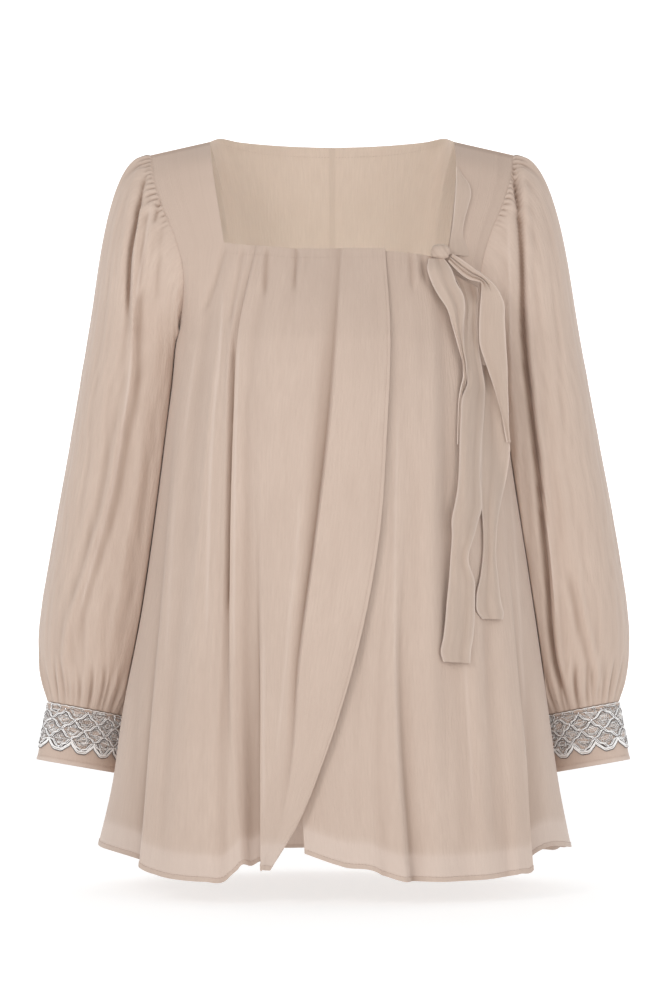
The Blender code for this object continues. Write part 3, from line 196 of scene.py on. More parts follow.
def point_normals(points: Array, faces: Array) -> Array:
    """Mean direction of the faces round each point."""
    corners = points[faces]
    across = np.cross(corners[:, 2] - corners[:, 0], corners[:, -1] - corners[:, 1])
    normals = np.zeros_like(points)
    for corner in range(faces.shape[1]):
        for axis in range(3):
            normals[:, axis] += np.bincount(faces[:, corner], across[:, axis], len(points))
    return unit(normals)


def shell(points: Array, faces: Array, thickness: Array | float = SHELL) -> Pair:
    """A closed thin body: a skin, a second one a thickness behind it, and a rim at each edge.

    Args:
        points: the outer skin.
        faces: its four-cornered faces.
        thickness: of the cloth, one value or one for each point.

    Returns:
        Points and faces of the closed body.
    """
    thickness = np.broadcast_to(thickness, (len(points),))[:, None]
    inner = points - point_normals(points, faces) * thickness
    count = len(points)
    edges = np.concatenate([faces[:, [k, (k + 1) % 4]] for k in range(4)])
    forward = edges[:, 0].astype(np.int64) * count + edges[:, 1]
    backward = edges[:, 1].astype(np.int64) * count + edges[:, 0]
    rim = edges[~np.isin(forward, backward)]
    sides = np.stack([rim[:, 1], rim[:, 0], rim[:, 0] + count, rim[:, 1] + count], axis=-1)
    return (np.concatenate([points, inner]),
            np.concatenate([faces, faces[:, ::-1] + count, sides]))


def tube(path: Array, out: Array, radius: float, sides: int = 6) -> Pair:
    """A round cord: a ring of points about each point of a path.

    Args:
        path: the middle of the cord.
        out: a direction across the path at each point.
        radius: of the cord.
        sides: points in a ring.

    Returns:
        Points and four-cornered faces; the ends are pinched shut.
    """
    along = unit(np.gradient(path, axis=0))
    up = unit(out - along * (out * along).sum(-1, keepdims=True))
    beside = np.cross(along, up)
    turn = np.arange(sides) * 2 * math.pi / sides
    size = np.full(len(path), radius)
    size[[0, -1]] = radius * 0.05
    ring = (np.cos(turn)[None, :, None] * up[:, None, :]
            + np.sin(turn)[None, :, None] * beside[:, None, :])
    points = path[:, None, :] + ring * size[:, None, None]
    return points.reshape(-1, 3), grid_quads(len(path), sides, closed=True)[:, ::-1]


def joined(parts: list[Pair]) -> Pair:
    """Many small bodies as one set of points and faces."""
    counts = np.cumsum([0] + [len(points) for points, _ in parts])
    return (np.concatenate([points for points, _ in parts]),
            np.concatenate([faces + start for (_, faces), start in zip(parts, counts)]))


def make_piece(name: str, points: Array, faces: Array, material: bpy.types.Material,
               weave: Array | None = None,
               marks: dict[str, Array] | None = None) -> bpy.types.Object:
    """An object from points in millimetres, at the origin.

    Args:
        name: of the piece.
        points: in millimetres.
        faces: four point numbers each.
        material: its finish.
        weave: across and along the cloth at each point, in metres, kept as a UV map.
        marks: named values at each point, kept as attributes.

    Returns:
        The linked object.
    """
    mesh = bpy.data.meshes.new(name)
    mesh.vertices.add(len(points))
    mesh.vertices.foreach_set("co", (points * MM).astype(np.float32).ravel())
    mesh.loops.add(faces.size)
    mesh.loops.foreach_set("vertex_index", faces.astype(np.int32).ravel())
    mesh.polygons.add(len(faces))
    mesh.polygons.foreach_set("loop_start",
                              np.arange(0, faces.size, faces.shape[1], dtype=np.int32))
    mesh.update(calc_edges=True)
    if weave is not None:
        layer = mesh.uv_layers.new(name="weave")
        layer.data.foreach_set("uv", weave[faces.ravel()].astype(np.float32).ravel())
    for label, values in (marks or {}).items():
        attribute = mesh.attributes.new(label, "FLOAT", "POINT")
        attribute.data.foreach_set("value", values.astype(np.float32))
    mesh.validate()
    mesh.shade_smooth()
    mesh.set_sharp_from_angle(angle=SHARP)
    mesh.materials.append(material)
    piece = bpy.data.objects.new(name, mesh)
    bpy.context.scene.collection.objects.link(piece)
    log.info("%s: %d triangles", name, (faces.shape[1] - 2) * len(faces))
    return piece


def weave_of(grid: Array) -> Array:
    """How far across and along the cloth each point of a grid lies, in metres."""
    across, along = run_of(grid[grid.shape[0] // 2]), run_of(grid[:, grid.shape[1] // 2])
    return np.stack(np.meshgrid(across, along), axis=-1).reshape(-1, 2) * MM


def cavity(lift: Array, reaches: tuple, closed: bool = False) -> Array:
    """How deep cloth lies below what is beside it in its row, from 0 to 1.

    Args:
        lift: how far it stands out, by row and column.
        reaches: pairs of columns to look at on each side, and the depth that counts as 1.
        closed: the last column meets the first.

    Returns:
        The sum of clip((mean of neighbours - lift) / depth, 0, 1), at most 1.
    """
    total = np.zeros_like(lift)
    for reach, depth in reaches:
        wide = np.pad(lift, ((0, 0), (reach, reach)), mode="wrap" if closed else "edge")
        run = np.cumsum(np.pad(wide, ((0, 0), (1, 0))), axis=1)
        mean = (run[:, 2 * reach + 1:] - run[:, :-2 * reach - 1]) / (2 * reach + 1)
        total += np.clip((mean - lift) / depth, 0.0, 1.0)
    return np.minimum(total, 1.0)


# ---- the body that the cloth hangs on
@dataclass(frozen=True)
class BodyForm:
    """The plain body: rings below the underarm, and the two armholes above it."""

    underarm: float = 210.0
    rings: tuple = (
        # drop, to -X, to +X, front, back
        (210, 160, 160, 131, 118), (250, 163, 167, 140, 121), (290, 168, 176, 146, 124),
        (370, 178, 189, 150, 130), (490, 195, 207, 157, 143), (590, 214, 221, 166, 157),
        (660, 224, 231, 173, 168), (745, 244, 248, 182, 182),
    )
    front_centre: tuple = (
        # drop, depth of the centre front above the underarm
        (100, 78), (120, 88), (150, 104), (180, 119), (210, 131),
    )
    front_armhole: tuple = (
        # drop, out from the centre, forward, degrees that the chest turns to the edge
        (20.5, 184, 12, 40), (45, 180.5, 30, 43), (70, 173, 42, 46), (99, 161, 52, 50),
        (129, 151.5, 57, 55), (150, 149, 55, 60), (175, 151, 42, 70), (195, 155.5, 22, 81),
        (210, 160, 0, 90),
    )
    back_armhole_rows: tuple = (
        # drop, out, backward, degrees that the back turns from centre to edge
        (20.5, 184, -12, 46), (19.5, 184.5, 10, 49), (31, 181, 36, 53), (58, 173, 56, 58),
        (92, 164, 66, 64), (124, 157.5, 66, 69), (156, 154.5, 55, 75), (184, 156, 33, 82),
        (210, 160, 0, 90),
    )

    def ring(self, index: int, drop: Array) -> Array:
        """One size of the rings at each drop."""
        return curve(self.rings, index, drop)

    def front_sizes(self, drop: Array) -> tuple[Array, ...]:
        """Half widths, edge depth, turn and centre depth of the front at each drop."""
        shallow = np.minimum(drop, self.underarm)
        deep = np.maximum(drop, self.underarm)
        above = drop < self.underarm

        def edge(index: int) -> Array:
            """A column of the front armhole at each drop."""
            return curve(self.front_armhole, index, shallow)

        right = np.where(above, edge(1), self.ring(1, deep))
        left = np.where(above, edge(1), self.ring(2, deep))
        forward = np.where(above, edge(2), 0.0)
        turn = np.where(above, edge(3), 90.0)
        centre = np.where(above, curve(self.front_centre, 1, shallow), self.ring(3, deep))
        return right, left, forward, np.radians(turn), centre

    def front_turn(self, x: Array, drop: Array) -> Array:
        """Where x lies round the front: -1 at the right side seam, 1 at the left one."""
        right, left, _, turn, _ = self.front_sizes(drop)
        across = np.clip((x - (left - right) / 2) / ((left + right) / 2), -1.0, 1.0)
        return np.arcsin(across * np.sin(turn)) / turn

    def front_x(self, round_: Array, drop: Array) -> Array:
        """The x of a place round the front."""
        right, left, _, turn, _ = self.front_sizes(drop)
        return (left - right) / 2 + (left + right) / 2 * np.sin(round_ * turn) / np.sin(turn)

    def front_point(self, round_: Array, drop: Array, lift: Array) -> Array:
        """A point of the front: an oval arc through both edges, moved out by the lift."""
        right, left, forward, turn, centre = self.front_sizes(drop)
        phi = round_ * turn
        wide = (left + right) / 2 / np.sin(turn)
        deep = (centre - forward) / (1 - np.cos(turn))
        x = (left - right) / 2 + wide * np.sin(phi)
        y = -forward - deep * (np.cos(phi) - np.cos(turn))
        out = unit(np.stack([deep * np.sin(phi), -wide * np.cos(phi)], axis=-1))
        return np.stack([x + out[..., 0] * lift, y + out[..., 1] * lift, -drop], axis=-1)

    def back_point(self, round_: Array, drop: Array, lift: Array) -> Array:
        """A point of the back below the underarm: a quarter of an oval, moved out."""
        right, left, deep = self.ring(1, drop), self.ring(2, drop), self.ring(4, drop)
        phi = round_ * math.pi / 2
        wide = (left + right) / 2
        out = unit(np.stack([deep * np.sin(phi), wide * np.cos(phi)], axis=-1))
        x = (left - right) / 2 * np.abs(np.sin(phi)) + wide * np.sin(phi)
        y = deep * np.cos(phi)
        return np.stack([x + out[..., 0] * lift, y + out[..., 1] * lift, -drop], axis=-1)

    def back_armhole(self, share: Array) -> Pair:
        """Points of the back edge of the armhole, and the back's turn to reach each."""
        table = np.array([(out, back, -drop, turn)
                          for drop, out, back, turn in self.back_armhole_rows])
        read = by_length(table, share)
        return read[:, :3], np.radians(read[:, 3])


BODY = BodyForm()


# ---- finishes
class NodeBuilder:
    """Small helper that adds and links shader nodes."""

    def __init__(self, name: str) -> None:
        """A new material with only its output and a Principled shader."""
        self.material = bpy.data.materials.new(name)
        self.material.use_nodes = True
        self.tree = self.material.node_tree
        self.shader = self.tree.nodes["Principled BSDF"]

    def add(self, kind: str, **settings: object) -> bpy.types.Node:
        """A node of a kind, with its properties set."""
        node = self.tree.nodes.new(kind)
        for label, value in settings.items():
            setattr(node, label, value)
        return node

    def feed(self, node: bpy.types.Node, **values: object) -> bpy.types.Node:
        """Links or sets a node's sockets; a socket's spaces are written as underscores."""
        for label, value in values.items():
            socket = node.inputs[label.replace("_", " ")]
            if isinstance(value, Socket):
                self.tree.links.new(value, socket)
            else:
                socket.default_value = value
        return node

    def noise(self, vector: Socket, scale: tuple, detail: float, size: float) -> Socket:
        """Noise stretched by a scale for each axis."""
        stretch = self.feed(self.add("ShaderNodeMapping"), Vector=vector, Scale=scale)
        return self.feed(self.add("ShaderNodeTexNoise"), Vector=stretch.outputs["Vector"],
                         Scale=size, Detail=detail).outputs["Fac"]

    def ramp(self, value: Socket, low: float, high: float) -> Socket:
        """A value spread from 0 to 1 between two limits."""
        return self.feed(self.add("ShaderNodeMapRange"), Value=value, From_Min=low,
                         From_Max=high).outputs["Result"]

    def mark(self, label: str) -> Socket:
        """The value that each point of a piece is marked with."""
        return self.add("ShaderNodeAttribute", attribute_name=label).outputs["Fac"]

    def bump(self, strength: float, distance: float, **sockets: object) -> Socket:
        """A direction tilted by a height."""
        return self.feed(self.add("ShaderNodeBump"), Strength=strength, Distance=distance,
                         **sockets).outputs["Normal"]

    def mix(self, share: Socket | float, *colours: object) -> Socket:
        """Two colours mixed by a share; each is a socket or a colour."""
        node = self.add("ShaderNodeMix", data_type="RGBA")
        for index, value in ((0, share), (6, colours[0]), (7, colours[1])):
            if isinstance(value, Socket):
                self.tree.links.new(value, node.inputs[index])
            else:
                node.inputs[index].default_value = (*value, 1.0) if index else value
        return node.outputs[2]


@dataclass(frozen=True)
class Chiffon:
    """Crinkled chiffon: a fine upright crepe grain over soft uneven colour; its hollow mark paints
    shade and its hem mark paints light.
    """

    name: str = "chiffon"
    light: Triple = (0.658, 0.522, 0.436)
    shade: Triple = (0.580, 0.450, 0.372)
    # painted shade: the colour mixed in where a piece is marked hollow, in folds, creases and
    # covered places
    hollow: Triple = (0.33, 0.225, 0.170)
    # painted light: the pale colour mixed in where a piece is marked hem, for light through one
    # sheer layer and painted highlights on crests and rolled edges
    hem: Triple = (0.80, 0.68, 0.61)
    roughness: float = 0.82
    sheen: float = 0.25
    grain_depth: float = 0.30
    crinkle_depth: float = 0.75

    def build(self) -> bpy.types.Material:
        """The material: grain and crinkle follow the cloth's own weave map."""
        nodes = NodeBuilder(self.name)
        weave = nodes.add("ShaderNodeUVMap", uv_map="weave").outputs["UV"]
        threads = nodes.noise(weave, (1.0, 0.10, 1.0), 3.0, 2600.0)
        crinkle = nodes.noise(weave, (1.0, 0.16, 1.0), 4.0, 420.0)
        cloud = nodes.noise(weave, (1.0, 0.45, 1.0), 2.0, 22.0)
        streak = nodes.noise(weave, (1.0, 0.07, 1.0), 4.0, 560.0)
        tone = nodes.mix(nodes.ramp(cloud, 0.20, 0.95), self.light, self.shade)
        grained = nodes.mix(nodes.ramp(streak, 0.30, 0.72), tone, self.shade)
        # painted shade: the hollow mark mixes in the hollow colour
        deep = nodes.mix(nodes.mark("hollow"), nodes.mix(0.75, tone, grained), self.hollow)
        low = nodes.bump(self.crinkle_depth, 0.0007, Height=crinkle)
        high = nodes.bump(self.grain_depth, 0.0003, Height=threads, Normal=low)
        # painted light: the hem mark mixes in the pale hem colour
        nodes.feed(nodes.shader, Base_Color=nodes.mix(nodes.mark("hem"), deep, self.hem),
                   Normal=high, Roughness=self.roughness, Sheen_Weight=self.sheen,
                   Sheen_Roughness=0.45, Specular_IOR_Level=0.25)
        return nodes.material


@dataclass(frozen=True)
class Thread:
    """A plain sewing thread."""

    name: str = "thread"
    colour: Triple = (0.56, 0.44, 0.37)

    def build(self) -> bpy.types.Material:
        """A matt material of one colour."""
        nodes = NodeBuilder(self.name)
        nodes.feed(nodes.shader, Base_Color=(*self.colour, 1.0), Roughness=0.7)
        return nodes.material


@dataclass(frozen=True)
class SilverThread:
    """Metal thread and beads, brighter and darker by turns."""

    name: str = "silver_thread"
    bright: Triple = (1.0, 0.99, 0.98)
    dark: Triple = (0.30, 0.28, 0.27)
    roughness: float = 0.42
    metallic: float = 0.15
    share_dark: float = 0.29

    def build(self) -> bpy.types.Material:
        """A metal whose colour changes every few millimetres, as twisted thread does."""
        nodes = NodeBuilder(self.name)
        place = nodes.add("ShaderNodeTexCoord").outputs["Object"]
        twist = nodes.noise(place, (1.0, 1.0, 1.0), 2.0, 620.0)
        limit = self.share_dark
        tone = nodes.mix(nodes.ramp(twist, limit - 0.08, limit + 0.10), self.dark, self.bright)
        nodes.feed(nodes.shader, Base_Color=tone, Roughness=self.roughness, Metallic=self.metallic)
        return nodes.material


class Workshop:
    """The finishes, made once, and the finished pieces."""

    def __init__(self) -> None:
        """Makes every finish."""
        self.chiffon = Chiffon().build()
        # painted shade: the tie's chiffon is the blouse's chiffon made darker
        self.tie = Chiffon(name="tie_chiffon", light=(0.585, 0.462, 0.382),
                           shade=(0.515, 0.40, 0.328), crinkle_depth=0.5).build()
        self.cuff = Chiffon(name="cuff_cloth", light=(0.645, 0.515, 0.43),
                            shade=(0.60, 0.465, 0.39), crinkle_depth=0.25).build()
        self.thread = Thread().build()
        self.silver = SilverThread().build()
        self.net = SilverThread(name="net_thread", bright=(0.94, 0.90, 0.88),
                                dark=(0.40, 0.36, 0.34), roughness=0.5, metallic=0.1).build()
        # painted shadow: a near-black copy of the thread finish, for dark cords beside and among
        # the pale lace cords
        self.painted_shadow = SilverThread(name="painted_shadow_thread", bright=(0.13, 0.115, 0.115),
                                dark=(0.04, 0.036, 0.036), roughness=0.4, metallic=0.2).build()
        self.beads = SilverThread(name="silver_beads", bright=(0.95, 0.95, 0.97),
                                  dark=(0.45, 0.45, 0.48), roughness=0.12, metallic=1.0,
                                  share_dark=0.35).build()

    def add(self, name: str, body: Pair, finish: bpy.types.Material,
            slot: str, *nodes: str, **layers: object) -> bpy.types.Object:
        """Makes a piece and seats it in the frame.

        Args:
            name: of the piece.
            body: its points and faces.
            finish: its material.
            slot: the kind of cloth or thread it is; not used.
            nodes: the CAD nodes that it stands for.
            layers: its weave and marks.

        Returns:
            The piece.
        """
        piece = make_piece(name, *body, finish, **layers)
        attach(piece, "root")
        if nodes:
            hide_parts(*nodes)
        return piece

    def cloth(self, name: str, skin: Array, faces: Array, weave: Array,
              marks: dict[str, Array], thickness: Array | float = SHELL,
              finish: bpy.types.Material | None = None, slot: str = "chiffon") -> bpy.types.Object:
        """A piece of cloth in place of the CAD node of its name.

        Args:
            name: of the CAD node.
            skin: the cloth's outer points.
            faces: over the skin.
            weave: of the skin's points.
            marks: of the skin's points; the inside takes the same.
            thickness: of the cloth.
            finish: its material, the blouse's chiffon if it isn't given.
            slot: the kind of cloth.

        Returns:
            The piece.
        """
        marks = {label: np.tile(np.ravel(values), 2) for label, values in marks.items()}
        return self.add(name + "_cloth", shell(skin, faces, thickness), finish or self.chiffon,
                        slot, name, weave=np.tile(weave, (2, 1)), marks=marks)


# ---- stitches
@dataclass(frozen=True)
class StitchLine:
    """A row of machine stitches along a line of points."""

    pitch: float = 3.2
    length: float = 2.3
    radius: float = 0.17

    def build(self, path: Array, out: Array) -> Pair:
        """Short rods along the path, each dipping into the cloth at both ends.

        Args:
            path: points along the seam, on the cloth.
            out: the cloth's outward direction at each.

        Returns:
            Points and faces of all the stitches.
        """
        run = run_of(path)
        rods = []
        for start in np.arange(self.pitch, run[-1] - self.pitch, self.pitch):
            at = start + np.array([0.0, 0.25, 0.75, 1.0]) * self.length
            middle = np.stack([np.interp(at, run, path[:, k]) for k in range(3)], axis=-1)
            up = unit(np.stack([np.interp(at, run, out[:, k]) for k in range(3)], axis=-1))
            arch = np.array([-0.2, 0.12, 0.12, -0.2])[:, None]
            rods.append(tube(middle + up * arch, up, self.radius, sides=4))
        return joined(rods)


def sewn(grid: Array, out: Array, rows: object, columns: object, off: float = 0.15) -> Pair:
    """Stitches along some rows or columns of a grid, as far off it as it is told."""
    along = out[rows, columns]
    return StitchLine().build(grid[rows, columns] + along * off, along)


def turned_hem(points: Array, normals: Array, columns: int) -> Pair:
    """A panel's skin, out at its turned hem, and its thickness, double there."""
    turned = np.zeros((len(points), 1))
    turned[-HEM_ROWS * columns:] = 1.0
    return points + normals * turned * 0.5, SHELL * (1 + turned[:, 0])


def sheer_hem(grid: Array, height: float = 31.0, pale: float = 0.34) -> Array:
    """Marks painted light on the single layer that hangs alone above a hem, as light through sheer
    cloth, but not on its turned edge.
    """
    above = grid[..., 2] - grid[-1:, :, 2]
    mark = pale * ease((height - above) / 9.0)
    mark[-HEM_ROWS:] = HEM_SHADE
    return mark


# ---- the two fronts
@dataclass(frozen=True)
class FoldLine:
    """A line that a fold follows from the neck to the hem."""

    name: str
    neck_drop: float
    hem_drop: float
    across: tuple[float, ...] | None
    lift: tuple[float, ...]


@dataclass(frozen=True)
class Crease:
    """A soft ridge (depth over 0) or trough that follows a path on the body."""

    path: tuple[tuple[float, float], ...]      # x and drop, from the top down
    depth: float
    width: float
    fade: float = 60.0
    # painted highlight: how pale the crest is painted
    crest_highlight: float = 0.0                         # how pale its crest is

    def lift(self, x: Array, drop: Array) -> Array:
        """A bell across the path, fading in and out along it."""
        drops = column(self.path, 1)
        middle = through(drops, column(self.path, 0), drop)
        along = ease((drop - drops[0]) / self.fade) * ease((drops[-1] - drop) / self.fade)
        return self.depth * np.exp(-((x - middle) / self.width) ** 2) * along

    def crest(self, x: Array, drop: Array) -> Array:
        """How far the painted highlight on its crest reaches, from 0 to 1."""
        return self.crest_highlight * self.lift(x, drop) / self.depth


LEVELS = (0, 0.13, 0.29, 0.48, 0.67, 0.83, 0.93, 1)
OVERLAY_FOLDS = tuple(FoldLine(*row) for row in (
    ("side", 113.5, 719.8, None, (0, 0, 0, 0, 0, 0, 0, 0)),
    ("hollow", 113.5, 727.5, (-143, -146.5, -158, -168, -177, -185, -189, -191),
     (0, 0, 0, -1, -2, -3, -3, -3)),
    ("flank", 113.5, 733.3, (-134, -138, -150, -161, -170, -176, -180, -184),
     (0, 0, 1, 2, 4, 7, 8, 9)),
    ("corner", 113.5, 738.5, (-108, -126, -137, -147, -154, -160, -163, -166),
     (0, -2, -1, 1, 4, 8, 10, 12)),
    ("ridge", 115, 741.5, (-99, -109, -116, -125, -135, -141, -145, -148),
     (0.6, 1.5, 3, 5, 8, 11, 12.5, 14)),
    ("slope", 116, 742.4, (-88, -100, -107, -114, -118, -119, -119, -119),
     (1, 0, 1, 3, 6, 10, 12.5, 14)),
    ("first_tuck", 117, 737.5, (-76, -92.7, -97.5, -100, -101, -100, -99, -98),
     (0, -2, -2.5, -1.5, 1, 3, 4, 4)),
    ("first_edge", 117, 730.7, (-73.6, -90.5, -95, -97.5, -98, -96, -93, -91),
     (1.4, 2.5, 4, 5.5, 5, 3, 2, 1)),
    ("valley", 118, 728, (-63, -80, -84, -84, -84, -82, -81, -81),
     (1, 1.5, 1, -1, -4, -8, -9.5, -10)),
    ("tail_tuck", 119, 724, (-54, -70, -75, -74, -72, -70, -69.5, -69.4),
     (1.2, 2.5, 2.5, 1, -3, -6.5, -7.5, -8)),
    ("tail_edge", 119.8, 729.5, (-46, -62, -68, -68, -68.5, -68, -67.8, -67.5),
     (1.2, 3, 3.5, 3, 4, 7, 8, 8.5)),
    ("short_tuck", 120.6, 730, (-36.4, -38, -48, -54, -56, -57, -61, -66),
     (-0.2, 3.8, 5, 5, 6, 7.5, 8.2, 8.6)),
    ("short_edge", 120.6, 730.1, (-34, -34, -44, -50, -53, -55, -59.5, -65.2),
     (1.8, 4.4, 5.4, 5.4, 6.4, 7.6, 8.2, 8.7)),
    ("panel", 120.8, 730.1, (-12, -16, -24, -33, -42, -46, -54, -64),
     (1.4, 5, 6.5, 7, 7.5, 8, 8.5, 8.8)),
    ("band_tuck", 120.5, 730.2, (7.5, 2.5, -5, -18, -33, -40, -50, -63),
     (0.4, 1.5, 1, 0.5, 3, 7, 8.5, 8.9)),
    ("band_edge", 120.3, 730.2, (10.5, 6.5, -1, -14.5, -29, -37, -47.5, -62),
     (2.8, 6.5, 8, 9, 9.5, 9, 9, 9)),
    ("band", 120.3, 730.2, (31, 31, 26, 15, -4, -23, -40, -60.2),
     (1.8, 5.5, 7, 8, 8.5, 9, 9.5, 9)),
    ("free_edge", 120.3, 730.2, (52.8, 56.2, 53, 44.5, 21.8, -8.5, -33, -58.1),
     (1.3, 4, 5, 5.5, 6, 7, 8, 9)),
))
OVERLAY_CREASES = tuple(Crease(*row) for row in (
    (((-137, 205), (-149, 285), (-154, 360), (-158, 430)), 0.9, 7),
    (((-112, 205), (-123, 330), (-129, 408), (-136, 480)), 1.3, 2.6),
    (((-103, 150), (-110, 240), (-117, 330)), -1, 3, 40),
    (((-143, 420), (-151, 520), (-159, 640), (-168, 735)), -1, 8),
    (((-125, 470), (-130, 560), (-133, 660), (-132, 742)), 0.9, 8),
    (((-108, 520), (-108, 620), (-106, 735)), -0.8, 6),
    (((-58, 122), (-74, 200), (-80, 280)), -1.2, 5, 30),
    (((-22, 122), (-26, 170), (-34, 260)), 1, 6, 30),
    (((-16, 300), (-22, 420), (-34, 520), (-44, 600)), 1.4, 9, 80),
    (((-4, 200), (-16, 330), (-28, 440)), -0.9, 6, 60),
    (((22, 122), (20, 200), (12, 290)), 0.9, 6, 40),
    (((42, 122), (42, 210), (34, 300), (12, 400)), -0.8, 7, 50),
    (((-180, 480), (-188, 580), (-204, 715)), 1, 9),
    (((-92, 150), (-100, 210), (-104, 330), (-107, 480), (-112, 640)), 1.4, 2.2, 60),
    (((-98, 190), (-100.5, 300), (-102, 430), (-103, 500)), -3.2, 1.6, 50),
    (((-64, 116), (-66, 140), (-67, 172)), -2, 2.6, 12),
    (((-69, 116), (-71, 140), (-73, 165)), 1.5, 2.6, 12),
    (((-34, 116), (-36, 140), (-38, 168)), -2, 2.6, 12),
    (((-29, 116), (-31, 140), (-33, 160)), 1.4, 2.6, 12),
    (((-87, 114), (-94, 150), (-103, 200)), -1.8, 3, 14),
    (((-105, 112), (-116, 150), (-132, 190)), -1.6, 3.2, 16),
    (((-109, 150), (-110, 195), (-112, 229), (-117, 285), (-120, 335), (-122, 412), (-124, 520)),
     0.5, 1.3, 60, 0.34),
    (((-91, 190), (-93.5, 250), (-95.5, 330), (-96.5, 420), (-96.5, 560)), 0.3, 1.1, 50, 0.30),
    (((-134, 200), (-142, 260), (-150, 330)), 0.4, 1.4, 50, 0.20),
    (((-156, 330), (-160, 420), (-166, 560)), 0.4, 1.6, 70, 0.18),
    (((-66, 480), (-66.5, 560), (-66, 700)), 0.3, 1.2, 60, 0.22),
    (((-28, 350), (-38, 450), (-48, 560), (-56, 640)), 0.3, 1.2, 60, 0.16),
))
UNDER_FOLDS = tuple(FoldLine(*row) for row in (
    ("hidden_edge", 122.5, 714.5, (-44, -43, -41, -39, -35, -31, -29, -26.5),
     (-2.8, -5, -6, -6, -5, -4, -2, 0)),
    ("crossing", 122.5, 725.9, (8, 6, 2, -4, -8, -6, 2, 8), (-2.4, -5, -6, -6, -4, -1, 1, 2)),
    ("lee", 123, 735, (56, 62, 60, 56, 46, 44, 46, 48), (-1.2, -1, -1, -1, 0, 2, 3, 4)),
    ("ridge", 123.5, 741.5, (66, 69, 67, 64, 60, 63, 67, 70), (-0.9, 0, 0, 1, 4, 6, 7.5, 8.5)),
    ("ridge_foot", 124.2, 742, (73, 76, 75, 72, 68, 72, 77, 80),
     (-0.7, 0, 0, -1, -2, -3, -3.5, -4)),
    ("breast", 126, 743, (90, 98, 98, 96, 96, 100, 104, 108), (-0.6, 1, 2, 3, 3, 3, 3, 3)),
    ("bow_hollow", 128.5, 743, (102, 112, 115, 115, 117, 122, 126, 130),
     (-0.5, -2, -3, -4, -3, -1, 0, 1)),
    ("corner", 128.5, 742.3, (114.6, 127, 132, 136, 140, 145, 148, 151),
     (0, 0, 1, 2, 3, 4, 4.5, 5)),
    ("shelf", 128.5, 740.8, (125, 136, 145, 152, 157, 163, 167, 170), (0, 0, 0, 0, 1, 3, 3, 3.5)),
    ("outer_ridge", 128.5, 738.6, (134, 143, 156, 165, 172, 176.5, 178.5, 180),
     (0, 0, 0, 1, 4, 7, 8, 9)),
    ("return_edge", 128.5, 736.2, (138.5, 147, 161, 172.5, 182, 189, 191.5, 193.5),
     (0, 0, 0, 1, 3, 6, 7, 8)),
    ("return_foot", 128.5, 728.5, (142, 150.5, 164.5, 176, 185, 192, 194.5, 196.5),
     (0, 0, 0, 0, -1, -3, -4, -5)),
    ("side", 128.5, 723.5, None, (0, 0, 0, 0, 0, 0, 0, 0)),
))
UNDER_CREASES = tuple(Crease(*row) for row in (
    (((84, 300), (84, 420), (88, 560), (94, 700)), -1.3, 8),
    (((112, 480), (118, 600), (122, 735)), 1.6, 7),
    (((146, 420), (154, 560), (160, 735)), -1.4, 6),
    (((132, 540), (137, 640), (141, 735)), -1.2, 6),
    (((30, 460), (26, 560), (24, 650), (28, 725)), -1.2, 8),
    (((98, 160), (92, 240), (88, 330)), -1.2, 8, 50),
    (((150, 190), (160, 300), (166, 400)), 1.4, 6, 50),
    (((205, 520), (212, 620), (220, 715)), 1.8, 8),
    (((74, 128), (78, 180), (82, 260)), 0.9, 6, 40),
    (((78, 120), (79, 140), (80, 166)), -1.8, 2.6, 10),
    (((84, 120), (85, 140), (86, 160)), 1.3, 2.6, 10),
    (((91, 122), (92, 142), (94, 158)), -1.6, 2.6, 10),
    (((178, 330), (185, 430), (191, 560), (194, 690)), 0.3, 1.3, 60, 0.24),
    (((66, 250), (62, 400), (62, 540), (68, 700)), 0.3, 1.3, 80, 0.16),
    (((126, 470), (134, 580), (139, 700)), 0.3, 1.3, 60, 0.16),
))


def edge_point(rows: tuple, side: Side, drop: Array) -> Array:
    """A point of a front's edge, from rows of drop, out from the centre, and forward."""
    out, forward = curve(rows, 1, drop), curve(rows, 2, drop)
    return np.stack([side.value * out, -forward, -drop], axis=-1)


def crests(creases: tuple[Crease, ...], grid: Array) -> Array:
    """How far the painted highlights on the creases' crests reach each point of a grid."""
    return sum(crease.crest(grid[..., 0], -grid[..., 2]) for crease in creases)


